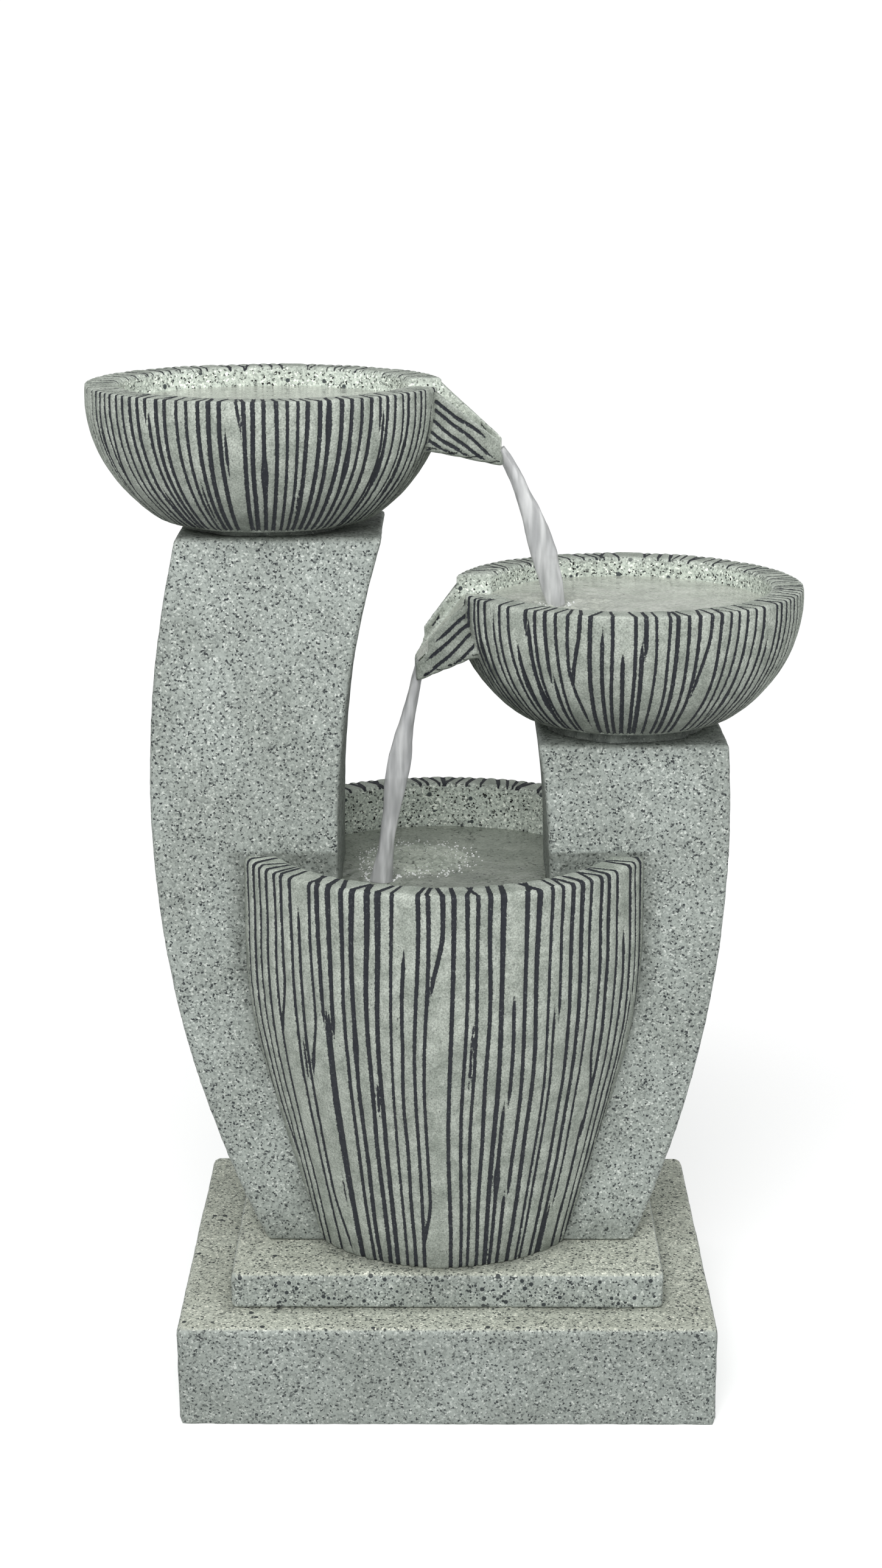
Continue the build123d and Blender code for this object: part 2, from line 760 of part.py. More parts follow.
strainer_inner_r = cover_r + strainer_play
strainer_outer_r = strainer_inner_r + strainer_wall
strainer_back = cover_front + strainer_lap
slot_front = strainer_front + strainer_wall + slot_margin
slot_length = cover_front - slot_margin - slot_front
with BuildPart() as pump_strainer:
    with BuildSketch(pump_plane(strainer_front)):
        Circle(strainer_outer_r)
    extrude(amount=strainer_back - strainer_front)
    with BuildSketch(pump_plane(strainer_front + strainer_wall)):
        Circle(strainer_inner_r)
    extrude(amount=strainer_back - strainer_front - strainer_wall, mode=Mode.SUBTRACT)
    with BuildSketch(pump_plane(slot_front)):
        with PolarLocations(strainer_outer_r, slot_count):
            Rectangle(4 * strainer_wall, slot_width)
    extrude(amount=slot_length, mode=Mode.SUBTRACT)
    with BuildSketch(pump_plane(strainer_front)):
        with PolarLocations((dial_r + strainer_inner_r) / 2, slot_count):
            SlotCenterToCenter(strainer_inner_r - dial_r - 2 * slot_margin, slot_width / 2)
        Circle(dial_stem_r + dial_play)
    extrude(amount=strainer_wall, mode=Mode.SUBTRACT)
save(pump_strainer, "pump_strainer")

dial_back = strainer_front - dial_gap
with BuildPart() as pump_flow_dial:
    with BuildSketch(pump_plane(dial_back - dial_thick)):
        Circle(dial_r)
    extrude(amount=dial_thick)
    with BuildSketch(pump_plane(dial_back - 2 * dial_thick)):
        RectangleRounded(dial_grip_length, dial_grip_width, dial_grip_round)
    extrude(amount=dial_thick)
    with BuildSketch(pump_plane(dial_back)):
        Circle(dial_stem_r)
    extrude(amount=strainer_wall + 2 * dial_gap)
    with BuildSketch(pump_plane(strainer_front + strainer_wall + dial_gap)):
        Circle(shutter_r)
        with Locations((0, shutter_r + dial_stem_r)):
            Rectangle(2 * shutter_r, 2 * shutter_r, mode=Mode.SUBTRACT)
    extrude(amount=shutter_thick)
save(pump_flow_dial, "pump_flow_dial")

with BuildPart() as pump_suction_feet:
    with Locations(*[(x, y, pot_floor_z) for x, y in foot_places]):
        Cone(
            foot_cup_r, foot_stem_r, foot_cup_height, align=(Align.CENTER, Align.CENTER, Align.MIN)
        )
        Cylinder(
            foot_stem_r,
            pump_foot_lift + foot_stem_depth,
            align=(Align.CENTER, Align.CENTER, Align.MIN),
        )
save(pump_suction_feet, "pump_suction_feet")

with BuildPart() as pump_cable_gland:
    gland_plane = Plane(origin=(pump_x, body_back, gland_z), x_dir=(-1, 0, 0), z_dir=(0, 1, 0))
    with BuildSketch(gland_plane):
        RegularPolygon(gland_r, 6)
        Circle(gland_bore_r, mode=Mode.SUBTRACT)
    extrude(amount=gland_length)
save(pump_cable_gland, "pump_cable_gland")
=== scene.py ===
import json
import math
import bmesh
import bpy
import numpy as np
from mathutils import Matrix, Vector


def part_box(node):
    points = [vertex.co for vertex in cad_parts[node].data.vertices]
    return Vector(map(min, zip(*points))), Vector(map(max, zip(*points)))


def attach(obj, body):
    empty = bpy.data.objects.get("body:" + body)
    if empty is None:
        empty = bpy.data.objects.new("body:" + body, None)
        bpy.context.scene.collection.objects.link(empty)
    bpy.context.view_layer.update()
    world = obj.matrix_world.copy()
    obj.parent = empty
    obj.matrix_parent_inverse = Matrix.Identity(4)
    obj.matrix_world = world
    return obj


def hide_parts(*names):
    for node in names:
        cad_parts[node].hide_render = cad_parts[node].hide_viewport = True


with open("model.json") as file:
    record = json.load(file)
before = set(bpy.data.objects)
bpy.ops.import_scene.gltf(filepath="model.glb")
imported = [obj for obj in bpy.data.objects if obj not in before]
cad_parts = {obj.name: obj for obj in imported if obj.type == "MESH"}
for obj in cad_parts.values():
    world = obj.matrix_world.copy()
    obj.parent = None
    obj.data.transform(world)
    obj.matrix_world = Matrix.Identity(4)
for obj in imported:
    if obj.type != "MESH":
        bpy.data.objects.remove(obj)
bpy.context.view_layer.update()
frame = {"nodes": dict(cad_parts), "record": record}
cadNodes = frame["nodes"]
mm = 0.001
print("frame loaded:", len(cadNodes), "nodes")

scene = bpy.context.scene
scene.view_settings.view_transform = "Standard"  # whites stay white


# camera and lights
cameraLook = {
    "place": (0.0004, -1.8287, 0.9503),
    "tiltDegrees": 74.76,
    "turnDegrees": 0.17,
    "lensMm": 57.42,
    "sensorMm": 36,  # upright side
    "clipStart": 0.02,
}
cameraData = bpy.data.cameras.new("camera")
cameraData.sensor_fit = "VERTICAL"
cameraData.sensor_height = cameraLook["sensorMm"]
cameraData.lens = cameraLook["lensMm"]
cameraData.clip_start = cameraLook["clipStart"]
camera = bpy.data.objects.new("camera", cameraData)
camera.location = cameraLook["place"]
camera.rotation_euler = (
    math.radians(cameraLook["tiltDegrees"]),
    0,
    math.radians(cameraLook["turnDegrees"]),
)
scene.collection.objects.link(camera)
scene.camera = camera

studio = {
    "skyColour": (0.98, 1.0, 0.99, 1),
    "skyStrength": 0.43,
    "backdropStrength": 1.05,
    "backdropRadius": 9.0,
    "floorRadius": 1.6,
    "floorFade": (0.42, 0.95),  # solid to this radius, gone at the next
    "floorGlow": 0.42,
    "floorTones": ((0.90, 0.90, 0.90), (0.93, 0.93, 0.93)),
    "floorSides": 96,
    "lightAim": (0, 0, 0.4),
    "lights": [
        # name, place, size, watts
        ("keySoftbox", (-0.35, -2.25, 2.15), 1.5, 52),
        ("sideSoftbox", (2.0, -0.9, 1.5), 1.2, 7),
    ],
}
world = bpy.data.worlds.new("studioSky")
world.use_nodes = True
sky = world.node_tree.nodes["Background"]
sky.inputs["Color"].default_value = studio["skyColour"]
sky.inputs["Strength"].default_value = studio["skyStrength"]
scene.world = world

for lightName, place, size, watts in studio["lights"]:
    lightData = bpy.data.lights.new(lightName, "AREA")
    lightData.energy = watts
    lightData.size = size
    light = bpy.data.objects.new(lightName, lightData)
    light.location = place
    aim = np.array(studio["lightAim"]) - np.array(place)
    flat = math.hypot(aim[0], aim[1])
    light.rotation_euler = (math.atan2(flat, -aim[2]), 0, math.atan2(-aim[0], aim[1]))
    scene.collection.objects.link(light)
print("camera and lights set")


# mesh helpers
def meshObject(name, points, faces):
    mesh = bpy.data.meshes.new(name)
    mesh.from_pydata([tuple(p) for p in points], [], [tuple(f) for f in faces])
    mesh.validate()
    mesh.shade_smooth()
    obj = bpy.data.objects.new(name, mesh)
    scene.collection.objects.link(obj)
    return obj


def readPoints(mesh):
    flatList = np.zeros(len(mesh.vertices) * 3, np.float32)
    mesh.vertices.foreach_get("co", flatList)
    return flatList.reshape(-1, 3).astype(float)


def readNormals(mesh):
    flatList = np.zeros(len(mesh.vertices) * 3, np.float32)
    mesh.vertex_normals.foreach_get("vector", flatList)
    return flatList.reshape(-1, 3).astype(float)


def writePoints(mesh, points):
    mesh.vertices.foreach_set("co", points.astype(np.float32).ravel())
    mesh.update()


def writeMask(mesh, name, values):
    mask = mesh.attributes.new(name, "FLOAT", "POINT")
    mask.data.foreach_set("value", values.astype(np.float32))


def bakeModifiers(obj):
    deps = bpy.context.evaluated_depsgraph_get()
    done = bpy.data.meshes.new_from_object(obj.evaluated_get(deps))
    old = obj.data
    obj.modifiers.clear()
    obj.data = done
    bpy.data.meshes.remove(old)
    return done


stoneSkin = {
    "weldMm": 0.01,
    "quickFactor": 1.25,
    "smoothFactor": 0.5,
    "smoothRounds": 2,
}


def castFrom(node, name, voxelMm):
    # a fine even skin over the CAD solid, with arrises eased by about one voxel
    obj = bpy.data.objects.new(name, cadNodes[node].data.copy())
    scene.collection.objects.link(obj)
    obj.data.materials.clear()
    weld = obj.modifiers.new("weld", "WELD")
    weld.merge_threshold = stoneSkin["weldMm"] * mm
    remesh = obj.modifiers.new("remesh", "REMESH")
    remesh.mode = "VOXEL"
    remesh.voxel_size = voxelMm * mm * 1
    smooth = obj.modifiers.new("smooth", "SMOOTH")
    smooth.factor = stoneSkin["smoothFactor"]
    smooth.iterations = stoneSkin["smoothRounds"]
    mesh = bakeModifiers(obj)
    mesh.shade_smooth()
    return obj


def thin(obj, triangles):
    # fewer faces where the skin is plain
    count = 2 * len(obj.data.polygons)
    if count > triangles:
        decimate = obj.modifiers.new("thin", "DECIMATE")
        decimate.ratio = triangles / count
        bakeModifiers(obj)
    obj.data.shade_smooth()


def step(values, low, high):
    t = np.clip((values - low) / (high - low), 0, 1)
    return t * t * (3 - 2 * t)


def lumps(points, sizeMm, seed):
    # smooth random lumps between -1 and 1, about sizeMm across
    side = 24  # the lumps repeat after this many cells
    table = np.random.default_rng(seed).uniform(-1, 1, (side, side, side))
    place = points / (sizeMm * mm)
    cell = np.floor(place).astype(int)
    part = place - cell
    part = part * part * (3 - 2 * part)
    total = np.zeros(len(points))
    for corner in range(8):
        shift = np.array([corner & 1, corner >> 1 & 1, corner >> 2 & 1])
        weight = np.prod(np.where(shift == 1, part, 1 - part), axis=1)
        at = (cell + shift) % side
        total += weight * table[at[:, 0], at[:, 1], at[:, 2]]
    return total


# material helpers
def startMaterial(name):
    material = bpy.data.materials.new(name)
    material.use_nodes = True
    material.node_tree.nodes.clear()
    return material, material.node_tree


def put(tree, kind, plugs=None, **settings):
    node = tree.nodes.new("ShaderNode" + kind)
    for key, value in settings.items():
        setattr(node, key, value)
    for key, value in (plugs or {}).items():
        socket = node.inputs[key]
        if isinstance(value, bpy.types.NodeSocket):
            tree.links.new(value, socket)
        else:
            socket.default_value = value
    return node


def rgba(colour):
    return (colour[0], colour[1], colour[2], 1)


def mixColour(tree, amount, low, high, how="MIX"):
    node = put(tree, "Mix", data_type="RGBA", blend_type=how)
    for index, value in ((0, amount), (6, low), (7, high)):
        if isinstance(value, bpy.types.NodeSocket):
            tree.links.new(value, node.inputs[index])
        elif index == 0:
            node.inputs[0].default_value = value
        else:
            node.inputs[index].default_value = rgba(value)
    return node.outputs[2]


def spread(tree, value, fromLow, fromHigh, toLow=0.0, toHigh=1.0):
    node = put(
        tree,
        "MapRange",
        {"Value": value, "From Min": fromLow, "From Max": fromHigh, "To Min": toLow, "To Max": toHigh},
        interpolation_type="SMOOTHSTEP",
    )
    return node.outputs["Result"]


def work(tree, how, first, second):
    return put(tree, "Math", {0: first, 1: second}, operation=how).outputs[0]


def grainNoise(tree, coords, sizeMm, detail=2.0, rough=0.5):
    plugs = {"Vector": coords, "Scale": 1000 / sizeMm, "Detail": detail, "Roughness": rough}
    return put(tree, "TexNoise", plugs).outputs["Fac"]


def finishMaterial(tree, colour, roughness, height, heightMm, **sockets):
    bump = put(tree, "Bump", {"Height": height, "Distance": heightMm * mm, "Strength": 1.0})
    shader = put(tree, "BsdfPrincipled", {"Base Color": colour, "Roughness": roughness})
    tree.links.new(bump.outputs["Normal"], shader.inputs["Normal"])
    for key, value in sockets.items():
        shader.inputs[key.replace("_", " ")].default_value = value
    out = put(tree, "OutputMaterial")
    tree.links.new(shader.outputs[0], out.inputs["Surface"])
    return shader


# stone finishes
chipMix = {
    "grainMm": 1.3,
    # painted top light: upward faces of the slab and step made lighter and warmer
    "topLightTint": (1.36, 1.30, 1.20),
    "darkGrain": (0.13, 0.145, 0.14),
    "midGrain": (0.30, 0.33, 0.31),
    "paleGrain": (0.42, 0.46, 0.43),
    "whiteGrain": (0.66, 0.70, 0.66),
    # cell size in mm, how rare, largest chip as a share of its cell
    "chips": ((7.6, 0.55, 0.26), (3.6, 0.74, 0.32)),
    "chipColour": (0.040, 0.048, 0.052),
    # where along the ramp each grain colour sits, between the ends
    "grainStops": ((0.04, "darkGrain"), (0.16, "midGrain"), (0.55, "paleGrain"), (0.86, "paleGrain")),
    "warpScale": 700.0,
    "warpReach": 0.0016,
    "blockContrast": 1.4,
    "cloudMm": 45,
    "cloudTones": ((0.90, 0.90, 0.89), (1.08, 1.08, 1.08)),
    # colour of the painted shade, also used for wet staining
    "paintedShadeAndWet": (0.075, 0.085, 0.07),
    "worn": (0.60, 0.64, 0.60),
    "bumpMm": 0.22,
}


def chipStoneColour(tree, coords, contrast):
    # salt and pepper grains with dark slate chips of mixed sizes
    noise = put(tree, "TexNoise", {"Vector": coords, "Scale": chipMix["warpScale"], "Detail": 1.0})
    warpPlugs = {0: noise.outputs["Color"], "Scale": chipMix["warpReach"]}
    warp = put(tree, "VectorMath", warpPlugs, operation="SCALE").outputs[0]
    warped = put(tree, "VectorMath", {0: coords, 1: warp}, operation="ADD").outputs[0]
    grains = put(tree, "TexVoronoi", {"Vector": warped, "Scale": 1000 / chipMix["grainMm"]})
    grey = put(tree, "SeparateColor", {"Color": grains.outputs["Color"]}).outputs[0]
    ramp = put(tree, "ValToRGB", {"Fac": grey})
    stops = ramp.color_ramp
    stops.interpolation = "LINEAR"
    middle = [(a + b) / 2 for a, b in zip(chipMix["midGrain"], chipMix["paleGrain"])]

    def toned(colour):
        return rgba([m + (c - m) * contrast for c, m in zip(colour, middle)])

    stops.elements[0].position = 0.0
    stops.elements[0].color = toned(chipMix["darkGrain"])
    stops.elements[1].position = 1.0
    stops.elements[1].color = toned(chipMix["whiteGrain"])
    for position, key in chipMix["grainStops"]:
        stop = stops.elements.new(position)
        stop.color = toned(chipMix[key])
    chip = None
    for cellMm, rarity, biggest in chipMix["chips"]:
        cells = put(tree, "TexVoronoi", {"Vector": coords, "Scale": 1000 / cellMm})
        pick = put(tree, "SeparateColor", {"Color": cells.outputs["Color"]}).outputs[1]
        reach = spread(tree, pick, rarity, 1.0, -0.05, biggest)
        found = spread(tree, work(tree, "SUBTRACT", reach, cells.outputs["Distance"]), -0.03, 0.03)
        chip = found if chip is None else work(tree, "MAXIMUM", chip, found)
    cloudy = spread(tree, grainNoise(tree, coords, chipMix["cloudMm"], 3), 0.3, 0.7)
    cloudTone = mixColour(tree, cloudy, *chipMix["cloudTones"])
    stone = mixColour(tree, 1.0, ramp.outputs["Color"], cloudTone, "MULTIPLY")
    return mixColour(tree, chip, stone, chipMix["chipColour"]), grey


def wearAndHighlightOf(tree):
    # how far an edge is made pale: partly rubbed by wear, partly a painted highlight
    sharp = put(tree, "NewGeometry").outputs["Pointiness"]
    return spread(tree, sharp, 0.515, 0.58)


def chipStoneMaterial():
    material, tree = startMaterial("graniteChipStone")
    coords = put(tree, "TexCoord").outputs["Object"]
    colour, grains = chipStoneColour(tree, coords, chipMix["blockContrast"])
    paintedShadeAndWet = put(tree, "Attribute", attribute_name="paintedShadeAndWet").outputs["Fac"]
    paintedTopLight = put(tree, "Attribute", attribute_name="paintedTopLight").outputs["Fac"]
    blotches = spread(tree, grainNoise(tree, coords, 9, 4), 0.2, 0.8, 0.6, 1.25)
    patchyShadeAndWet = work(tree, "MULTIPLY", paintedShadeAndWet, blotches)
    # painted top light: upward faces of the slab and step lighter and warmer
    colour = mixColour(tree, paintedTopLight, colour, mixColour(tree, 1.0, colour, chipMix["topLightTint"], "MULTIPLY"))
    # painted shade, with some wet staining, darkens the stone in patches where the mask says
    colour = mixColour(tree, patchyShadeAndWet, colour, mixColour(tree, 0.72, colour, chipMix["paintedShadeAndWet"]))
    # edges lightened: partly wear, partly painted highlight
    colour = mixColour(tree, work(tree, "MULTIPLY", wearAndHighlightOf(tree), 0.35), colour, chipMix["worn"])
    height = work(tree, "ADD", grainNoise(tree, coords, 1.2, 2), work(tree, "MULTIPLY", grains, 0.5))
    rough = spread(tree, grainNoise(tree, coords, 5, 2), 0.2, 0.8, 0.62, 0.86)
    finishMaterial(tree, colour, rough, height, chipMix["bumpMm"])
    return material


carvedTones = {
    "ridgeDark": (0.33, 0.365, 0.32),
    "ridgePale": (0.54, 0.58, 0.52),
    "groove": (0.020, 0.023, 0.031),
    "grooveSpeck": (0.10, 0.11, 0.115),
    "fleck": (0.12, 0.13, 0.125),
    "worn": (0.56, 0.60, 0.55),
    "innerContrast": 1.7,
    # inner walls painted lighter, standing in for the light they catch
    "innerPaintedLight": (1.56, 1.55, 1.50),
    # colour of the painted shade, also used for wet staining below the water line
    "paintedShadeAndWet": (0.06, 0.07, 0.055),
    "bumpMm": 0.25,
}


def carvedStoneMaterial():
    material, tree = startMaterial("carvedStone")
    coords = put(tree, "TexCoord").outputs["Object"]
    groove = put(tree, "Attribute", attribute_name="groove").outputs["Fac"]
    inner = put(tree, "Attribute", attribute_name="inner").outputs["Fac"]
    paintedShadeAndWet = put(tree, "Attribute", attribute_name="paintedShadeAndWet").outputs["Fac"]
    ragged = spread(tree, grainNoise(tree, coords, 2.4, 3, 0.6), 0.25, 0.75, -0.24, 0.24)
    edge = work(tree, "ADD", groove, ragged)
    cut = spread(tree, edge, 0.20, -0.20)
    mottle = spread(tree, grainNoise(tree, coords, 14, 5, 0.6), 0.3, 0.7)
    ridge = mixColour(tree, mottle, carvedTones["ridgeDark"], carvedTones["ridgePale"])
    fine = spread(tree, grainNoise(tree, coords, 1.2, 2, 0.6), 0.3, 0.7, 0.70, 1.26)
    fineGrey = put(tree, "CombineColor", {0: fine, 1: fine, 2: fine}).outputs[0]
    ridge = mixColour(tree, 1.0, ridge, fineGrey, "MULTIPLY")
    flecks = spread(tree, grainNoise(tree, coords, 2.2, 1), 0.68, 0.74)
    ridge = mixColour(tree, work(tree, "MULTIPLY", flecks, 0.6), ridge, carvedTones["fleck"])
    # edges lightened: partly wear, partly painted highlight
    ridge = mixColour(tree, work(tree, "MULTIPLY", wearAndHighlightOf(tree), 0.5), ridge, carvedTones["worn"])
    chips = chipStoneColour(tree, coords, carvedTones["innerContrast"])[0]
    # painted light: the inner walls' granite made lighter for the light they catch
    chips = mixColour(tree, 1.0, chips, carvedTones["innerPaintedLight"], "MULTIPLY")
    stone = mixColour(tree, inner, ridge, chips)
    blotches = spread(tree, grainNoise(tree, coords, 8, 4), 0.2, 0.8, 0.6, 1.2)
    patchyShadeAndWet = work(tree, "MULTIPLY", paintedShadeAndWet, blotches)
    # painted shade, with wet staining below the water line, darkens the stone in patches where the mask
    # says
    stone = mixColour(tree, patchyShadeAndWet, stone, mixColour(tree, 0.75, stone, carvedTones["paintedShadeAndWet"]))
    dusty = spread(tree, grainNoise(tree, coords, 1.6, 2), 0.62, 0.72)
    deep = mixColour(tree, dusty, carvedTones["groove"], carvedTones["grooveSpeck"])
    colour = mixColour(tree, cut, stone, deep)
    height = work(tree, "SUBTRACT", grainNoise(tree, coords, 1.3, 3), work(tree, "MULTIPLY", cut, 1.4))
    rough = spread(tree, grainNoise(tree, coords, 4, 2), 0.2, 0.8, 0.60, 0.84)
    finishMaterial(tree, colour, rough, height, carvedTones["bumpMm"])
    return material


mortarTones = {
    "dark": (0.12, 0.135, 0.125),
    "pale": (0.26, 0.285, 0.26),
    "sand": (0.42, 0.45, 0.42),
    "bumpMm": 0.5,
}


def mortarMaterial():
    material, tree = startMaterial("cementMortar")
    coords = put(tree, "TexCoord").outputs["Object"]
    blotch = spread(tree, grainNoise(tree, coords, 9, 5, 0.65), 0.35, 0.65)
    colour = mixColour(tree, blotch, mortarTones["dark"], mortarTones["pale"])
    sand = spread(tree, grainNoise(tree, coords, 1.2, 2), 0.58, 0.7)
    colour = mixColour(tree, sand, colour, mortarTones["sand"])
    height = work(tree, "ADD", grainNoise(tree, coords, 1.5, 3), grainNoise(tree, coords, 6, 2))
    rough = spread(tree, blotch, 0, 1, 0.7, 0.9)
    finishMaterial(tree, colour, rough, height, mortarTones["bumpMm"])
    return material


chipStone = chipStoneMaterial()
carvedStone = carvedStoneMaterial()
cementMortar = mortarMaterial()
print("stone materials made")


# hand-carved grooves, laid out stroke by stroke
noGroove = 9.0  # mm to the nearest groove where there is none
waveTurn = 6.283  # radians in one wave
aboveRimMm = -30.0  # strokes start above the rim and end past the foot
pastFootMm = 60


def carveSegments(seed, count, fallMm, style):
    # every groove is one or more strokes, some broken, some running into the next
    random = np.random.default_rng(seed)
    pitch = 2 * math.pi / count
    wholeEnd = fallMm + pastFootMm
    strokes = []
    for index in range(count):
        angle = (index + random.uniform(-0.13, 0.13)) * pitch
        half = style["halfMm"] * random.uniform(0.78, 1.28)
        skew = random.uniform(-1, 1) * style["rimSkew"]
        jog = random.uniform(-1, 1) * style["rimJogMm"]
        sway = (random.uniform(0.15, 0.55), random.uniform(70, 180), random.uniform(0, 6.28))
        start = aboveRimMm if random.random() < style["wholeShare"] else random.uniform(3, 0.25 * fallMm)
        swell = (0.0, 0.0)
        if random.random() < style["wedgeShare"]:
            swell = (random.uniform(0.1, 0.75) * fallMm, random.uniform(0.6, 1.4))
        common = {"half": half, "skew": skew, "jog": jog, "sway": sway, "swell": swell}
        choice = random.random()
        if choice < style["breakShare"]:
            at = random.uniform(0.2, 0.9) * fallMm
            side = random.choice((-1, 1)) * random.uniform(0.30, 0.45)
            strokes.append(dict(common, angle=angle, start=start, end=at, lean=0.0))
            again = at - random.uniform(4, 26)
            strokes.append(dict(common, angle=angle + side * pitch, start=again, end=wholeEnd, lean=0.0))
        elif choice < style["breakShare"] + style["mergeShare"]:
            at = random.uniform(0.25, 1.0) * fallMm
            side = random.choice((-1, 1)) * random.uniform(0.8, 1.0)
            strokes.append(dict(common, angle=angle, start=start, end=at, lean=side))
        else:
            strokes.append(dict(common, angle=angle, start=start, end=wholeEnd, lean=0.0))
        if random.random() < style["shortShare"]:
            at = random.uniform(0.1, 0.8) * fallMm
            between = dict(common, half=half * 0.7, angle=angle + 0.5 * pitch, swell=(0.0, 0.0))
            strokes.append(dict(between, start=at, end=at + random.uniform(18, 60), lean=0.0))
    return strokes, pitch


def distanceToStrokes(strokes, pitch, angle, radiusMm, fall, across, style):
    # signed distance in mm to the nearest groove's edge: below 0 is inside the groove
    nearest = np.full(len(angle), noGroove)
    slowWave = np.sin(3 * angle + fall / 55)
    quickWave = 0.6 * np.sin(7 * angle - fall / 38 + 1.3)
    drift = style["driftMm"] * (slowWave + quickWave)
    drift = drift / style["radiusMm"]
    for stroke in strokes:
        swayMm, swayLength, swayStart = stroke["sway"]
        centre = stroke["angle"] + drift
        centre = centre + swayMm * np.sin(fall * waveTurn / swayLength + swayStart) / style["radiusMm"]
        if stroke["lean"]:
            merging = step(fall, stroke["end"] - style["mergeMm"], stroke["end"])
            centre = centre + stroke["lean"] * pitch * merging
        onTop = stroke["skew"] * across + stroke["jog"] * step(across, 0.2, 1.2)
        centre = centre + onTop / style["radiusMm"]
        gap = (angle - centre + math.pi) % (2 * math.pi) - math.pi
        close = np.abs(gap) * radiusMm < 12
        if not close.any():
            continue
        depth = fall[close]
        half = stroke["half"] * (1 + style["rimSwell"] * np.exp(-depth / 60))
        half = half * (1 - 0.30 * across[close] / style["rimMm"])
        wedgeAt, wedgeMm = stroke["swell"]
        half = half + wedgeMm * np.exp(-(((depth - wedgeAt) / style["wedgeMm"]) ** 2))
        fromStart = (depth - stroke["start"]) / style["taperMm"]
        fromEnd = (stroke["end"] - depth) / style["taperMm"]
        half = half * np.clip(np.minimum(fromStart, fromEnd), -1.5, 1)
        found = np.abs(gap[close]) * radiusMm[close] - half
        nearest[close] = np.minimum(nearest[close], found)
    return nearest


def pressGrooves(points, normals, groove, style, belowRimMm):
    # round-bottomed cut with a slightly pillowed ridge beside it, shallow on the rim
    inside = step(-groove, -0.5, 0.9)
    pillow = 0.25 * step(groove, 0.0, 2.5)
    depth = style["depthMm"] * (style["rimDepth"] + (1 - style["rimDepth"]) * step(belowRimMm, 1.5, 9))
    return points + normals * ((pillow - inside * depth) * mm)[:, None]


# bowls
def bowlRadius(belowRimMm, shape):
    drop = np.clip((belowRimMm - shape["bellyDropMm"]) / shape["curveMm"], -1, 1)
    return shape["radiusMm"] * np.sqrt(1 - drop * drop)


bowlShape = {
    "radiusMm": 130.0,
    "curveMm": 111.0,
    "bellyDropMm": 9.0,
    "heightMm": 99.0,
    "wallMm": 24.0,
    "fineMm": 1.15,
    "triangles": 195000,
}
topBowl = {
    "node": "top_bowl",
    "name": "top_bowl_stone",
    "axisX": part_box("top_bowl")[0].x + bowlShape["radiusMm"] * mm,
    "rimZ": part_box("top_bowl")[1].z,
    "seed": 21,
    "grooves": 104,
    "heading": -3.0,
    "rootMm": 122.0,
    "rootHalfMm": 37.0,
    "tipMm": 173.0,
    "tipHalfMm": 14.0,
    "tipDropMm": 42.0,
    "rootDepthMm": 46.0,
    "tipDepthMm": 17.0,
    "tipFloorMm": 8.0,
    "spoutLineMm": 6.0,
}
middleBowl = {
    "node": "middle_bowl",
    "name": "middle_bowl_stone",
    "axisX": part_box("middle_bowl")[1].x - bowlShape["radiusMm"] * mm,
    "rimZ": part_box("middle_bowl")[1].z,
    "seed": 46,
    "grooves": 102,
    "heading": 184.0,
    "rootMm": 117.0,
    "rootHalfMm": 50.0,
    "tipMm": 157.0,
    "tipHalfMm": 17.0,
    "tipDropMm": 44.0,
    "rootDepthMm": 46.0,
    "tipDepthMm": 26.0,
    "tipFloorMm": 12.0,
    "spoutLineMm": 6.4,
}
bowlGrooves = {
    "halfMm": 1.22,
    "radiusMm": 130.0,
    "rimMm": 24.0,
    "rimSkew": 0.38,
    "rimJogMm": 1.1,
    "rimDepth": 0.45,
    "driftMm": 1.0,
    "wholeShare": 0.93,
    "mergeMm": 55,
    "wedgeMm": 11,
    "taperMm": 14,
    "rimSwell": 0.10,
    "wedgeShare": 0.14,
    "breakShare": 0.15,
    "mergeShare": 0.11,
    "shortShare": 0.09,
    "depthMm": 1.1,
}


spoutLook = {
    "fromMm": 60,  # nothing nearer the bowl's axis is spout
    "marginMm": 3,
    "channelFromMm": 95,
    "channelInsetMm": 5,
    "channelDeepMm": 70,
    "firstLineMm": 4.5,
    "underLineMm": 7,
    "lineHalfMm": 1.15,
}


def spoutMasks(points, bowl):
    turn = math.radians(bowl["heading"])
    x = (points[:, 0] - bowl["axisX"]) / mm
    y = points[:, 1] / mm
    along = x * math.cos(turn) + y * math.sin(turn)
    side = -x * math.sin(turn) + y * math.cos(turn)
    below = (bowl["rimZ"] - points[:, 2]) / mm
    t = np.clip((along - bowl["rootMm"]) / (bowl["tipMm"] - bowl["rootMm"]), -0.3, 1.1)
    half = bowl["rootHalfMm"] + (bowl["tipHalfMm"] - bowl["rootHalfMm"]) * t
    top = np.maximum(bowl["tipDropMm"] * t, 0)
    depth = bowl["rootDepthMm"] + (bowl["tipDepthMm"] - bowl["rootDepthMm"]) * t
    return along, side, below, half, top, depth


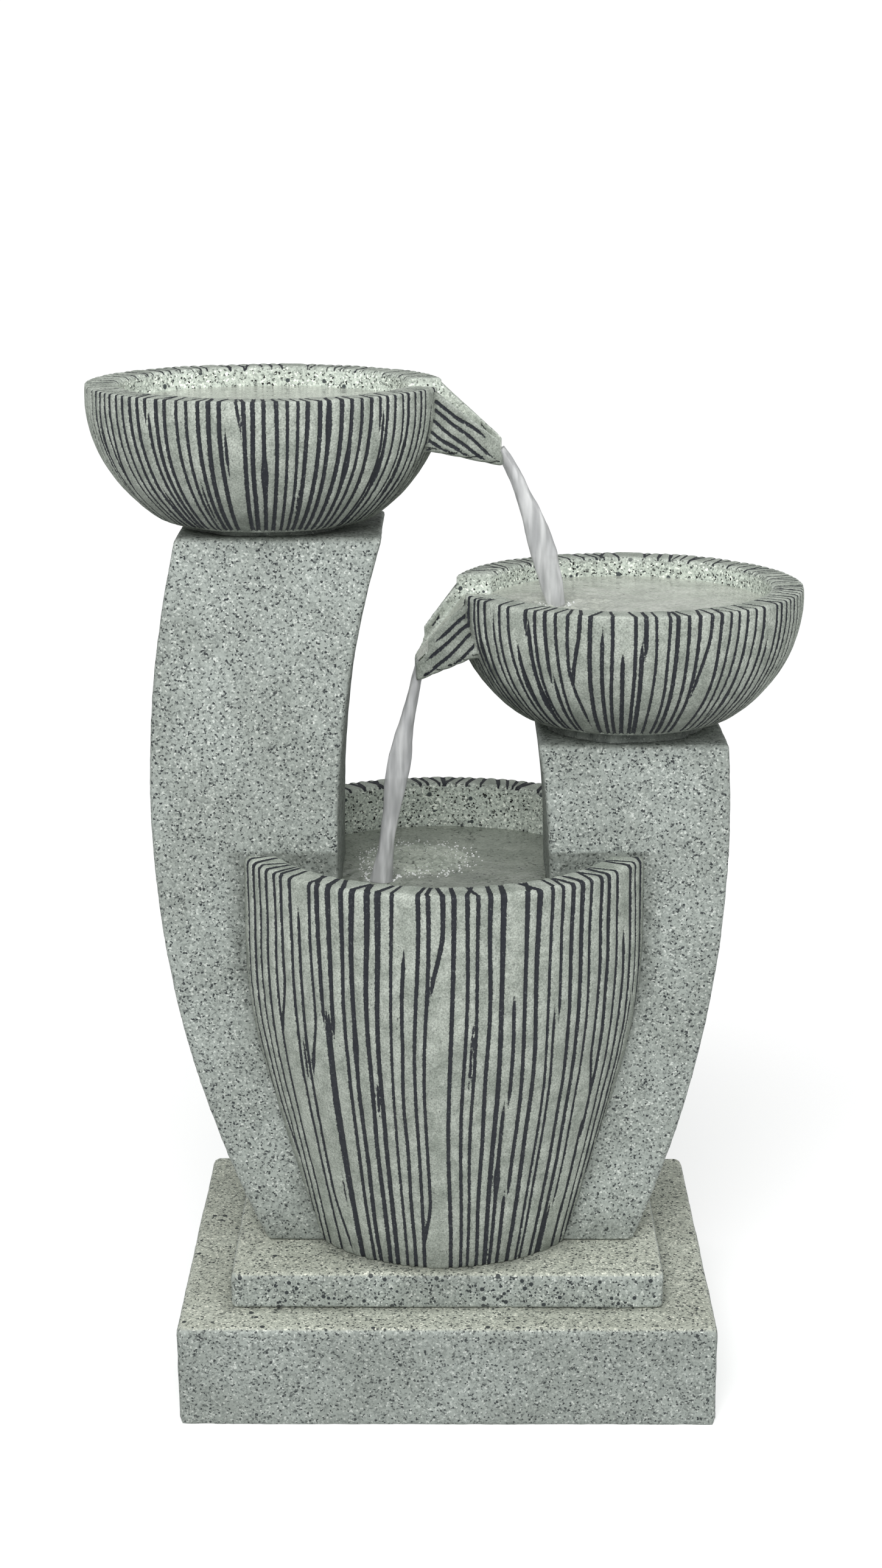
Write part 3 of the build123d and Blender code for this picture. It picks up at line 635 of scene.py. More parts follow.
def bowlFields(points, normals, bowl, strokes, pitch):
    x = (points[:, 0] - bowl["axisX"]) / mm
    y = points[:, 1] / mm
    radius = np.hypot(x, y)
    angle = np.arctan2(y, x)
    below = (bowl["rimZ"] - points[:, 2]) / mm
    skinRadius = bowlRadius(below, bowlShape)
    outwardSide = (normals[:, 0] * x + normals[:, 1] * y) / np.maximum(radius, 1)
    innerRadius = bowlShape["radiusMm"] - bowlShape["wallMm"]
    onRim = (below < 5) & (normals[:, 2] > 0.35) & (radius > innerRadius)
    onSkin = ((outwardSide > 0.25) | (normals[:, 2] < -0.2)) & (np.abs(radius - skinRadius) < 4)
    across = np.where(onRim, np.clip(bowlShape["radiusMm"] - 2.0 - radius, 0, bowlShape["wallMm"]), 0)

    groove = np.full(len(points), noGroove)
    carved = onRim | onSkin
    groove[carved] = distanceToStrokes(
        strokes, pitch, angle[carved], radius[carved], below[carved], across[carved], bowlGrooves
    )
    # lines thin out towards the inner edge of the rim
    groove = np.where(onRim, groove + 0.5 * step(radius, innerRadius + 6, innerRadius + 1), groove)

    along, side, belowS, half, top, depth = spoutMasks(points, bowl)
    offAxis = np.abs(side)
    onSpoutSide = along > spoutLook["fromMm"]
    inSpout = onSpoutSide & (offAxis < half + spoutLook["marginMm"]) & (radius > skinRadius + 0.8)
    channel = (offAxis < half - spoutLook["channelInsetMm"]) & (along > spoutLook["channelFromMm"])
    channel = channel & (below < spoutLook["channelDeepMm"]) & (normals[:, 2] > -0.3)
    wallTop = inSpout & (normals[:, 2] > 0.45)
    outside = inSpout & ~wallTop & (offAxis > half - 4)
    underside = inSpout & (normals[:, 2] < -0.5)
    slope = bowl["tipDropMm"] / (bowl["tipMm"] - bowl["rootMm"])
    lineDepth = (belowS - top) / math.sqrt(1 + slope * slope)
    bed = bowl["spoutLineMm"]
    first = spoutLook["firstLineMm"]
    row = np.round((lineDepth - first) / bed)
    wander = 0.7 * np.sin(along / 9 + row * 2.1) + 0.5 * np.sin(along / 4.3 + row)
    fromLine = np.abs(lineDepth - first - row * bed - wander)
    # a random share for each row, so the lines start and end unevenly
    rowShare = np.sin(row * 12.9898 + bowl["seed"]) * 43758.5453
    rowShare = rowShare - np.floor(rowShare)
    startAt = bowl["rootMm"] - 8 + 8 * (rowShare > 0.7)
    endAt = bowl["tipMm"] + 1 - 13 * rowShare
    lineTaper = np.clip(np.minimum((along - startAt) / 5, (endAt - along) / 7), -1.5, 1)
    lineHalf = spoutLook["lineHalfMm"] * lineTaper
    spoutLine = np.where(row >= 0, fromLine - lineHalf, noGroove)
    underBed = spoutLook["underLineMm"]
    underRow = np.round(side / underBed)
    underLine = np.abs(side - underRow * underBed - 0.6 * np.sin(along / 7 + underRow)) - 1.0
    groove = np.where(outside, spoutLine, groove)
    groove = np.where(underside, underLine, groove)
    groove = np.where(wallTop | (channel & ~onSkin), noGroove, groove)

    inner = ((outwardSide < 0.15) & ~onSkin & ~inSpout & (below > 3)).astype(float)
    inner = np.maximum(inner, onRim * 0.75 * step(radius, innerRadius + 5, innerRadius))
    inner = np.maximum(inner, 0.45 * (channel | wallTop))
    # painted shade: the outside darkens towards the bottom of the bowl
    paintedShadeAndWet = 0.75 * step(below, 62, 97) * carved
    # painted shade lies in the crease where the spout leaves the bowl
    crease = np.exp(-(((radius - skinRadius) / 3.0) ** 2)) * onSpoutSide
    crease = crease * step(offAxis, half + 5, half) * (below > 3)
    paintedShadeAndWet = np.maximum(paintedShadeAndWet, 0.9 * crease * ~channel)
    # painted shade on the spout's carved sides and underside
    paintedShadeAndWet = np.maximum(paintedShadeAndWet, 0.30 * (outside | underside))
    wet = (inner > 0.9) * step(below, 12, 20) * 0.12
    return groove, inner, np.maximum(paintedShadeAndWet, wet)


def carveBowl(bowl):
    obj = castFrom(bowl["node"], bowl["name"], bowlShape["fineMm"])
    strokes, pitch = carveSegments(bowl["seed"], bowl["grooves"], bowlShape["heightMm"], bowlGrooves)
    points, normals = readPoints(obj.data), readNormals(obj.data)
    groove, inner, paintedShadeAndWet = bowlFields(points, normals, bowl, strokes, pitch)
    moved = pressGrooves(points, normals, groove, bowlGrooves, (bowl["rimZ"] - points[:, 2]) / mm)
    worn = 0.40 * lumps(points, 23, 1) + 0.14 * lumps(points, 5, 2)
    writePoints(obj.data, moved + normals * (worn * mm)[:, None])
    thin(obj, bowlShape["triangles"])
    points, normals = readPoints(obj.data), readNormals(obj.data)
    fields = bowlFields(points, normals, bowl, strokes, pitch)
    for key, values in zip(("groove", "inner", "paintedShadeAndWet"), fields):
        writeMask(obj.data, key, values)
    obj.data.materials.append(carvedStone)
    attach(obj, "fountain")
    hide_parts(bowl["node"])
    print("carved", bowl["name"], len(obj.data.polygons), "faces")


carveBowl(topBowl)
carveBowl(middleBowl)


# pot
pot = {
    "node": "pot",
    "name": "pot_stone",
    "axisX": (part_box("pot")[0].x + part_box("pot")[1].x) / 2,
    "rimZ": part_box("pot")[1].z,
    "footZ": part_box("pot")[0].z,
    "rimRadiusMm": 162.0,
    "wallMm": 24.0,
    "seed": 7,
    "grooves": 111,
    "pillarHalfMm": 66.0,
    "fineMm": 1.45,
    "triangles": 198000,
}
potGrooves = {
    "halfMm": 1.32,
    "radiusMm": 162.0,
    "rimMm": 24.0,
    "rimSkew": 0.46,
    "rimJogMm": 1.6,
    "rimDepth": 0.45,
    "driftMm": 1.2,
    "wholeShare": 0.93,
    "mergeMm": 55,
    "wedgeMm": 11,
    "taperMm": 14,
    "rimSwell": 0.42,
    "wedgeShare": 0.06,
    "breakShare": 0.14,
    "mergeShare": 0.10,
    "shortShare": 0.06,
    "depthMm": 1.25,
}


def potFields(points, normals, strokes, pitch):
    x = (points[:, 0] - pot["axisX"]) / mm
    y = points[:, 1] / mm
    radius = np.hypot(x, y)
    angle = np.arctan2(y, x)
    below = (pot["rimZ"] - points[:, 2]) / mm
    outwardSide = (normals[:, 0] * x + normals[:, 1] * y) / np.maximum(radius, 1)
    innerRadius = pot["rimRadiusMm"] - pot["wallMm"]
    onRim = (below < 5) & (normals[:, 2] > 0.35) & (radius > innerRadius)
    onSkin = (outwardSide > 0.3) & (radius > 100)
    across = np.where(onRim, np.clip(pot["rimRadiusMm"] - 2.0 - radius, 0, pot["wallMm"]), 0)
    carved = onRim | onSkin
    groove = np.full(len(points), noGroove)
    groove[carved] = distanceToStrokes(
        strokes, pitch, angle[carved], radius[carved], below[carved], across[carved], potGrooves
    )
    groove = np.where(onRim, groove + 0.5 * step(radius, innerRadius + 4, innerRadius + 1), groove)
    inner = ((outwardSide < 0.1) & (below > 3)).astype(float)
    inner = np.maximum(inner, onRim * 0.8 * step(radius, innerRadius + 4, innerRadius))
    aboveFoot = (points[:, 2] - pot["footZ"]) / mm
    # painted shade: darker near the pot's foot and where it meets the pillars
    paintedShadeAndWet = 0.65 * step(aboveFoot, 34, 2) * onSkin
    besidePillar = np.abs(y) - pot["pillarHalfMm"]
    paintedShadeAndWet = np.maximum(paintedShadeAndWet, 0.6 * step(besidePillar, 13, 2) * onSkin)
    wet = inner * (0.06 + 0.25 * step(below, 28, 40))
    return groove, inner, np.maximum(paintedShadeAndWet, wet)


def carvePot():
    obj = castFrom(pot["node"], pot["name"], pot["fineMm"])
    fall = (pot["rimZ"] - pot["footZ"]) / mm
    strokes, pitch = carveSegments(pot["seed"], pot["grooves"], fall, potGrooves)
    points, normals = readPoints(obj.data), readNormals(obj.data)
    groove, inner, paintedShadeAndWet = potFields(points, normals, strokes, pitch)
    moved = pressGrooves(points, normals, groove, potGrooves, (pot["rimZ"] - points[:, 2]) / mm)
    worn = 0.40 * lumps(points, 27, 3) + 0.15 * lumps(points, 5, 4)
    writePoints(obj.data, moved + normals * (worn * mm)[:, None])
    thin(obj, pot["triangles"])
    points, normals = readPoints(obj.data), readNormals(obj.data)
    fields = potFields(points, normals, strokes, pitch)
    for key, values in zip(("groove", "inner", "paintedShadeAndWet"), fields):
        writeMask(obj.data, key, values)
    obj.data.materials.append(carvedStone)
    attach(obj, "fountain")
    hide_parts(pot["node"])
    print("carved pot", len(obj.data.polygons), "faces")


carvePot()


# pillars and base
blocks = {
    "tall_pillar": {"name": "tall_pillar_stone", "fineMm": 2.2, "triangles": 110000, "seed": 31},
    "short_pillar": {"name": "short_pillar_stone", "fineMm": 2.2, "triangles": 90000, "seed": 37},
    "base_slab": {"name": "base_slab_stone", "fineMm": 2.6, "triangles": 90000, "seed": 41},
    "base_step": {"name": "base_step_stone", "fineMm": 2.4, "triangles": 60000, "seed": 43},
}


potOutline = {
    "footRadius": 0.1135,
    "rimRadius": 0.162,
    "flareHeight": 0.215,
    "slopeFrom": -0.02,
    "slopeTo": 0.36,
}
# strengths of painted shade; the pillar top's band is painted shadow and wet staining
paintedShadeAmounts = {
    "pillarByPot": 0.75,
    "pillarFoot": 0.5,
    "pillarInside": 0.62,
    "pillarOutside": 0.30,
    "pillarTop": 0.75,
    "stepByPot": 0.7,
    "slabByStep": 0.55,
    "slabSides": 0.16,
}


def potRadiusAt(z):
    # outside of the pot, in metres, by height
    slope = step(z, pot["footZ"] + potOutline["slopeFrom"], potOutline["slopeTo"]) * (z > 0)
    rise = np.clip((z - pot["footZ"]) / potOutline["flareHeight"], 0, 1)
    flare = potOutline["rimRadius"] - potOutline["footRadius"]
    return potOutline["footRadius"] + flare * rise * (0.6 + 0.4 * slope)


def blockPaintedLight(node, points, normals):
    x, y, z = points.T
    paintedShadeAndWet = np.zeros(len(points))
    paintedTopLight = np.zeros(len(points))
    fromPot = np.hypot(x - pot["axisX"], y) - potRadiusAt(z)
    if node.endswith("pillar"):
        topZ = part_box(node)[1].z
        # painted shade on the pillars: by the pot, at the foot, and on the inner and outer sides
        paintedShadeAndWet = paintedShadeAmounts["pillarByPot"] * step(fromPot, 0.016, -0.001) * (z < pot["rimZ"] + 0.002)
        paintedShadeAndWet = np.maximum(paintedShadeAndWet, paintedShadeAmounts["pillarFoot"] * step(z, pot["footZ"] + 0.03, pot["footZ"]))
        toMiddle = normals[:, 0] * (1 if node.startswith("tall") else -1)
        paintedShadeAndWet = np.maximum(paintedShadeAndWet, paintedShadeAmounts["pillarInside"] * step(toMiddle, 0.5, 0.9))
        # painted shadow with wet staining under the bowl at the pillar top
        paintedShadeAndWet = np.maximum(paintedShadeAndWet, paintedShadeAmounts["pillarTop"] * step(z, topZ - 0.004, topZ - 0.001))
        paintedShadeAndWet = np.maximum(paintedShadeAndWet, paintedShadeAmounts["pillarOutside"] * step(-toMiddle, 0.6, 0.9))
    else:
        # painted shade on the step by the pot, on the slab by the step and on the slab's sides
        paintedShadeAndWet = paintedShadeAmounts["stepByPot"] * step(fromPot, 0.018, -0.002) * (node == "base_step")
        if node == "base_slab":
            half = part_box("base_step")[1]
            gap = np.maximum(np.abs(x) - half.x, np.abs(y) - half.y)
            paintedShadeAndWet = paintedShadeAmounts["slabByStep"] * step(gap, 0.010, 0.0) * (normals[:, 2] > 0.5)
            paintedShadeAndWet = np.maximum(paintedShadeAndWet, paintedShadeAmounts["slabSides"] * (normals[:, 2] < 0.5))
        # painted top light on the upward faces of the slab and step
        paintedTopLight = 1.0 * (normals[:, 2] > 0.6)
    return paintedShadeAndWet, paintedTopLight


def weatherBlock(node, block):
    obj = castFrom(node, block["name"], block["fineMm"])
    points, normals = readPoints(obj.data), readNormals(obj.data)
    worn = 0.35 * lumps(points, 42, block["seed"]) + 0.20 * lumps(points, 11, block["seed"] + 1)
    worn = worn + 0.16 * lumps(points, 4.2, block["seed"] + 2)
    writePoints(obj.data, points + normals * (worn * mm)[:, None])
    thin(obj, block["triangles"])
    points, normals = readPoints(obj.data), readNormals(obj.data)
    paintedShadeAndWet, paintedTopLight = blockPaintedLight(node, points, normals)
    writeMask(obj.data, "paintedShadeAndWet", paintedShadeAndWet)
    writeMask(obj.data, "paintedTopLight", paintedTopLight)
    obj.data.materials.append(chipStone)
    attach(obj, "fountain")
    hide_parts(node)


for blockNode, blockLook in blocks.items():
    weatherBlock(blockNode, blockLook)
print("pillars and base weathered")

mortarBeds = {
    "top_bowl_bedding": {"name": "top_bowl_mortar", "seed": 51},
    "middle_bowl_bedding": {"name": "middle_bowl_mortar", "seed": 57},
}
mortarFineMm = 1.3
mortarOozeMm = 2.0  # how far it is squeezed out on average
for bedNode, bedLook in mortarBeds.items():
    bed = castFrom(bedNode, bedLook["name"], mortarFineMm)
    bedPoints = readPoints(bed.data)
    low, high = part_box(bedNode)
    middle = (low + high) / 2
    fromAxis = bedPoints[:, :2] - np.array([middle.x, middle.y])
    reach = np.hypot(fromAxis[:, 0], fromAxis[:, 1])
    uneven = 3.2 * lumps(bedPoints, 17, bedLook["seed"]) + 1.2 * lumps(bedPoints, 5, 58)
    squeeze = step(reach, 0.050, 0.056) * (uneven + mortarOozeMm)
    unit = fromAxis / np.maximum(reach, 0.001)[:, None]
    bedPoints[:, :2] += unit * (squeeze * mm)[:, None]
    writePoints(bed.data, bedPoints)
    bed.data.materials.append(cementMortar)
    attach(bed, "fountain")
    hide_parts(bedNode)
print("mortar beds squeezed out")


# water
waterTones = {
    "surfaceTint": (0.86, 0.88, 0.84),
    "streamDark": (0.50, 0.505, 0.51),
    "streamPale": (0.84, 0.845, 0.85),
    "streamTint": (0.93, 0.94, 0.96),
    "foamDark": (0.72, 0.75, 0.72),
    "foamPale": (0.97, 0.98, 0.97),
    "potMurk": {
        "dark": (0.29, 0.32, 0.275), "pale": (0.41, 0.44, 0.385), "share": 0.90,
        "speck": (0.05, 0.055, 0.05), "speckMm": 3.2, "speckFrom": 0.63,
        # painted ripple light: the rippled patch made lighter in the pot
        "rippleShadingTint": (1.8, 1.8, 1.8),
    },
    "bowlMurk": {
        "dark": (0.60, 0.63, 0.56), "pale": (0.80, 0.83, 0.75), "share": 0.88,
        "speck": (0.16, 0.17, 0.16), "speckMm": 3.6, "speckFrom": 0.69,
        # painted ripple shade: the rippled patch made a little darker in the middle bowl
        "rippleShadingTint": (0.88, 0.88, 0.88),
    },
}


def stillWaterMaterial(name, murk):
    # a skin of murky water: it hides what lies deep and shows what lies shallow
    material, tree = startMaterial(name)
    coords = put(tree, "TexCoord").outputs["Object"]
    clouds = spread(tree, grainNoise(tree, coords, 26, 4, 0.6), 0.3, 0.7)
    colour = mixColour(tree, clouds, murk["dark"], murk["pale"])
    fine = spread(tree, grainNoise(tree, coords, 2.2, 3, 0.65), 0.35, 0.65, 0.84, 1.14)
    fineGrey = put(tree, "CombineColor", {0: fine, 1: fine, 2: fine}).outputs[0]
    colour = mixColour(tree, 1.0, colour, fineGrey, "MULTIPLY")
    # painted light and shade on the rippled patch where a stream lands
    paintedRippleShading = put(tree, "Attribute", attribute_name="paintedRippleShading").outputs["Fac"]
    colour = mixColour(tree, paintedRippleShading, colour, mixColour(tree, 1.0, colour, murk["rippleShadingTint"], "MULTIPLY"))
    speckNoise = grainNoise(tree, coords, murk["speckMm"], 2)
    specks = spread(tree, speckNoise, murk["speckFrom"], murk["speckFrom"] + 0.04)
    colour = mixColour(tree, work(tree, "MULTIPLY", specks, 0.75), colour, murk["speck"])
    ripple = work(tree, "ADD", grainNoise(tree, coords, 8, 2), grainNoise(tree, coords, 22, 1))
    bump = put(tree, "Bump", {"Height": ripple, "Distance": 0.0009})
    shader = put(tree, "BsdfPrincipled", {"Base Color": colour, "Roughness": 0.07, "IOR": 1.33})
    tree.links.new(bump.outputs["Normal"], shader.inputs["Normal"])
    through = put(tree, "BsdfTransparent", {"Color": rgba(waterTones["surfaceTint"])})
    both = put(tree, "MixShader", {0: murk["share"]})
    tree.links.new(through.outputs[0], both.inputs[1])
    tree.links.new(shader.outputs[0], both.inputs[2])
    out = put(tree, "OutputMaterial")
    tree.links.new(both.outputs[0], out.inputs["Surface"])
    return material


def fallingWaterMaterial():
    material, tree = startMaterial("fallingWater")
    coords = put(tree, "TexCoord").outputs["Object"]
    flow = put(tree, "Mapping", {"Vector": coords, "Scale": (1.0, 1.0, 0.16)}).outputs[0]
    streaks = grainNoise(tree, flow, 6.5, 2, 0.5)
    glint = grainNoise(tree, flow, 7.5, 2)
    pale = spread(tree, streaks, 0.35, 0.7)
    colour = mixColour(tree, pale, waterTones["streamDark"], waterTones["streamPale"])
    shader = put(tree, "BsdfPrincipled", {"Base Color": colour, "Roughness": 0.12})
    bump = put(tree, "Bump", {"Height": streaks, "Distance": 0.0006})
    tree.links.new(bump.outputs["Normal"], shader.inputs["Normal"])
    through = put(tree, "BsdfTransparent", {"Color": rgba(waterTones["streamTint"])})
    solid = spread(tree, glint, 0.32, 0.68, 0.66, 0.96)
    both = put(tree, "MixShader")
    tree.links.new(solid, both.inputs[0])
    tree.links.new(through.outputs[0], both.inputs[1])
    tree.links.new(shader.outputs[0], both.inputs[2])
    out = put(tree, "OutputMaterial")
    tree.links.new(both.outputs[0], out.inputs["Surface"])
    return material


def foamMaterial():
    material, tree = startMaterial("foamBubbles")
    coords = put(tree, "TexCoord").outputs["Object"]
    mottle = grainNoise(tree, coords, 2.0, 2)
    tone = mixColour(tree, mottle, waterTones["foamDark"], waterTones["foamPale"])
    height = grainNoise(tree, coords, 1.0, 1)
    finishMaterial(tree, tone, 0.12, height, 0.1)
    return material


potWater = stillWaterMaterial("potWater", waterTones["potMurk"])
bowlWater = stillWaterMaterial("bowlWater", waterTones["bowlMurk"])
fallingWater = fallingWaterMaterial()
foamBubbles = foamMaterial()

pools = {
    "top_pool": {
        "x": topBowl["axisX"], "z": topBowl["rimZ"] - 14.5 * mm, "radiusMm": 106.2,
        "wave": [],
    },
    "middle_pool": {
        "x": middleBowl["axisX"], "z": middleBowl["rimZ"] - 14.5 * mm, "radiusMm": 106.2,
        # place, spread, height, wavelength in mm
        "wave": [((78, -9), 34, 1.0, 13), ((78, -9), 80, 0.35, 22)],
    },
    "pot_pool": {
        "x": pot["axisX"], "z": pot["rimZ"] - 36 * mm, "radiusMm": 138.2,
        "wave": [((-24, 46), 30, 1.1, 7.5), ((-50, -8), 26, 1.2, 11), ((-24, 46), 80, 0.4, 26)],
    },
}


poolMesh = {
    "rings": 84,
    "spokes": 220,
    # the pot's pool stops at the two pillars
    "leftWallMm": -80.5,
    "rightWallMm": 75,
    "smallestFace": 1e-9,
}


def poolHeight(pool, x, y):
    height = np.zeros(len(x))
    for (px, py), reach, size, length in pool["wave"]:
        far = np.hypot(x / mm - px, y / mm - py)
        swell = np.sin(far * waveTurn / length) * np.exp(-((far / reach) ** 2))
        height += size * swell
    flat = np.stack([x, y, np.zeros(len(x))], axis=1)
    for (px, py), reach, size, _ in pool["wave"][:1]:  # chop where the stream lands
        far = np.hypot(x / mm - px, y / mm - py)
        height += 0.9 * size * lumps(flat, 3.8, 61) * step(far, reach * 1.55, reach * 1.2)
    height += 0.18 * lumps(flat, 26, 62)
    return height * mm


def makePool(name, pool):
    rings, spokes = poolMesh["rings"], poolMesh["spokes"]
    radius = pool["radiusMm"] * mm
    points = [(pool["x"], 0.0)]
    for ring in range(1, rings + 1):
        for spoke in range(spokes):
            turn = 2 * math.pi * spoke / spokes
            reach = radius * ring / rings
            points.append((pool["x"] + reach * math.cos(turn), reach * math.sin(turn)))
    flat = np.array(points)
    if name == "pot_pool":
        half = pot["pillarHalfMm"] * mm
        leftWall, rightWall = poolMesh["leftWallMm"] * mm, poolMesh["rightWallMm"] * mm
        beside = np.abs(flat[:, 1]) < half
        nearEdge = half - np.abs(flat[:, 1])
        for wall, sign in ((leftWall, -1), (rightWall, 1)):
            past = sign * (flat[:, 0] - wall)
            slideX = beside & (past > 0) & (past <= nearEdge)
            slideY = beside & (past > 0) & (past > nearEdge)
            flat[slideX, 0] = wall
            flat[slideY, 1] = np.sign(flat[slideY, 1]) * half
    height = pool["z"] + poolHeight(pool, flat[:, 0], flat[:, 1])
    full = np.column_stack([flat, height])
    faces = []
    for spoke in range(spokes):
        faces.append((0, 1 + spoke, 1 + (spoke + 1) % spokes))
    for ring in range(rings - 1):
        base = 1 + ring * spokes
        for spoke in range(spokes):
            after = (spoke + 1) % spokes
            faces.append((base + spoke, base + spokes + spoke, base + spokes + after, base + after))
    areas = []  # faces pressed flat against a pillar are left out
    for face in faces:
        corners = full[list(face)]
        wide = np.cross(corners[1] - corners[0], corners[2] - corners[0])
        deep = np.cross(corners[-1] - corners[0], corners[-2] - corners[0])
        areas.append(abs(wide[2]) + abs(deep[2]))
    faces = [face for face, area in zip(faces, areas) if area > poolMesh["smallestFace"]]
    obj = meshObject(name, full, faces)
    # painted ripple shading: rings of light and shade around where the stream lands
    paintedRippleShading = np.zeros(len(full))
    for (px, py), reach, _, length in pool["wave"][:1]:
        far = np.hypot(full[:, 0] / mm - px, full[:, 1] / mm - py)
        rippled = 0.75 + 0.25 * np.sin(far * waveTurn / length)
        paintedRippleShading = step(far, reach * 1.5, reach * 1.15) * rippled
    writeMask(obj.data, "paintedRippleShading", paintedRippleShading)
    obj.data.materials.append(potWater if name == "pot_pool" else bowlWater)
    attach(obj, "fountain")
    return obj


for poolName, poolLook in pools.items():
    makePool(poolName, poolLook)
print("pools filled")


spill = {
    "rows": 40,
    "columns": 17,
    "fromMm": 100,
    "sillMm": 17.0,
    "filmMm": 2.6,
    "rootWallMm": 9,
    "tipWallMm": 4.5,
    "clearMm": 1.2,
}


def tipSillOf(bowl):
    # how far the spout's floor lies below the rim at its tip, in mm
    return bowl["tipDropMm"] + bowl["tipDepthMm"] - bowl["tipFloorMm"]


def spillSheet(name, bowl, poolZ):
    # thin run of water from the pool over the sill and down the open spout
    turn = math.radians(bowl["heading"])
    rows, columns, start = spill["rows"], spill["columns"], spill["fromMm"]
    rootWall, tipWall, sill = spill["rootWallMm"], spill["tipWallMm"], spill["sillMm"]
    level = (bowl["rimZ"] - poolZ) / mm
    points, faces = [], []
    for row in range(rows):
        share = row / (rows - 1)
        along = start + (bowl["tipMm"] - 1 - start) * share
        t = np.clip((along - bowl["rootMm"]) / (bowl["tipMm"] - bowl["rootMm"]), 0, 1)
        narrowing = bowl["tipHalfMm"] - tipWall - bowl["rootHalfMm"] + rootWall
        half = bowl["rootHalfMm"] - rootWall + narrowing * t - spill["clearMm"]
        floorBelow = sill + (tipSillOf(bowl) - sill) * t
        ease = float(step(np.array([along]), start, bowl["rootMm"] + 12)[0])
        surfaceBelow = level * (1 - ease) + max(level, floorBelow - spill["filmMm"]) * ease
        for column in range(columns):
            fromMiddle = 2 * column / (columns - 1) - 1
            side = half * fromMiddle
            rib = 0.35 * math.sin(side * 1.1 + along * 0.15) + 0.25 * math.sin(side * 2.3 - along * 0.3)
            edge = 1.2 * abs(fromMiddle) ** 4
            points.append((
                bowl["axisX"] + (along * math.cos(turn) - side * math.sin(turn)) * mm,
                (along * math.sin(turn) + side * math.cos(turn)) * mm,
                bowl["rimZ"] - (surfaceBelow - rib * ease - edge * ease * 0.5) * mm,
            ))
    for row in range(rows - 1):
        for column in range(columns - 1):
            corner = row * columns + column
            faces.append((corner, corner + 1, corner + columns + 1, corner + columns))
    obj = meshObject(name, points, faces)
    obj.data.materials.append(bowlWater)
    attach(obj, "fountain")


spillSheet("top_spill", topBowl, pools["top_pool"]["z"])
spillSheet("middle_spill", middleBowl, pools["middle_pool"]["z"])
print("water runs over both sills")

gravity = 9.81
streamMesh = {"rings": 110, "sides": 40, "sinkMm": 1.5, "stretch": 0.22}
upperStream = {
    "bowl": topBowl,
    "landZ": pools["middle_pool"]["z"],
    "startBackMm": 2.0,
    "outSpeed": 0.39,
    "downSpeed": 0.50,
    # half widths in mm down the fall: as seen from the front, and front to back
    "wide": (4.2, 4.8, 6.4, 8.8, 9.8, 8.6, 6.8),
    "deep": (8.6, 7.6, 5.4, 4.2, 4.0, 4.8, 6.0),
    "seed": 71,
}
lowerStream = {
    "bowl": middleBowl,
    "landZ": pools["pot_pool"]["z"],
    "startBackMm": 4.5,
    "outSpeed": 0.29,
    "downSpeed": 1.05,
    "wide": (3.6, 4.2, 5.6, 8.6, 8.2, 5.8, 6.4, 8.8),
    "deep": (10.5, 8.5, 6.0, 4.2, 4.5, 6.0, 5.6, 5.0),
    "seed": 77,
}


def pour(name, stream):
    # a stream falls freely from the spout's tip, from round to flat and back
    bowl = stream["bowl"]
    turn = math.radians(bowl["heading"])
    startX = bowl["axisX"] + (bowl["tipMm"] - stream["startBackMm"]) * math.cos(turn) * mm
    startY = (bowl["tipMm"] - stream["startBackMm"]) * math.sin(turn) * mm
    startZ = bowl["rimZ"] - (tipSillOf(bowl) - spill["filmMm"]) * mm
    drop = startZ - stream["landZ"] + streamMesh["sinkMm"] * mm
    down = stream["downSpeed"]
    fallTime = (-down + math.sqrt(down * down + 2 * gravity * drop)) / gravity
    rings, sides = streamMesh["rings"], streamMesh["sides"]
    keys = np.linspace(0, 1, len(stream["wide"]))
    points, faces = [], []
    for ring in range(rings):
        share = ring / (rings - 1)
        t = fallTime * share
        x = startX + stream["outSpeed"] * t * math.cos(turn)
        y = startY + stream["outSpeed"] * t * math.sin(turn)
        z = startZ - down * t - gravity / 2 * t * t
        fallen = (startZ - z) / drop
        wide = float(np.interp(fallen, keys, stream["wide"]))
        deep = float(np.interp(fallen, keys, stream["deep"]))
        lean = math.atan2(stream["outSpeed"] * math.cos(turn), down + gravity * t)
        for side in range(sides):
            around = 2 * math.pi * side / sides
            across = wide * math.cos(around) * mm
            back = deep * math.sin(around) * mm
            points.append((x + across * math.cos(lean), y + back, z + across * math.sin(lean)))
    base = np.array(points)
    centre = base.reshape(rings, sides, 3).mean(axis=1)
    outward = base - np.repeat(centre, sides, axis=0)
    unit = outward / np.maximum(np.linalg.norm(outward, axis=1), 1e-6)[:, None]
    stretched = base * np.array([1, 1, streamMesh["stretch"]])
    ripples = 0.95 * lumps(stretched, 5.0, stream["seed"])
    ripples = ripples + 0.5 * lumps(stretched, 2.4, stream["seed"] + 1)
    ripples = ripples * np.repeat(np.linspace(0.35, 1, rings), sides)
    base = base + unit * (ripples * mm)[:, None]
    for ring in range(rings - 1):
        upper, lower = ring * sides, (ring + 1) * sides
        for side in range(sides):
            after = (side + 1) % sides
            faces.append((upper + side, upper + after, lower + after, lower + side))
    faces.append(tuple(range(sides - 1, -1, -1)))
    faces.append(tuple(range((rings - 1) * sides, rings * sides)))
    obj = meshObject(name, base, [f[::-1] for f in faces])
    obj.data.materials.append(fallingWater)
    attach(obj, "fountain")
    return base[-sides:].mean(axis=0)


upperLanding = pour("upper_stream", upperStream)
lowerLanding = pour("lower_stream", lowerStream)
print("streams pour at", [round(v, 3) for v in upperLanding], [round(v, 3) for v in lowerLanding])


bubbleShape = {"rings": 4, "spokes": 9, "wrap": 0.62}


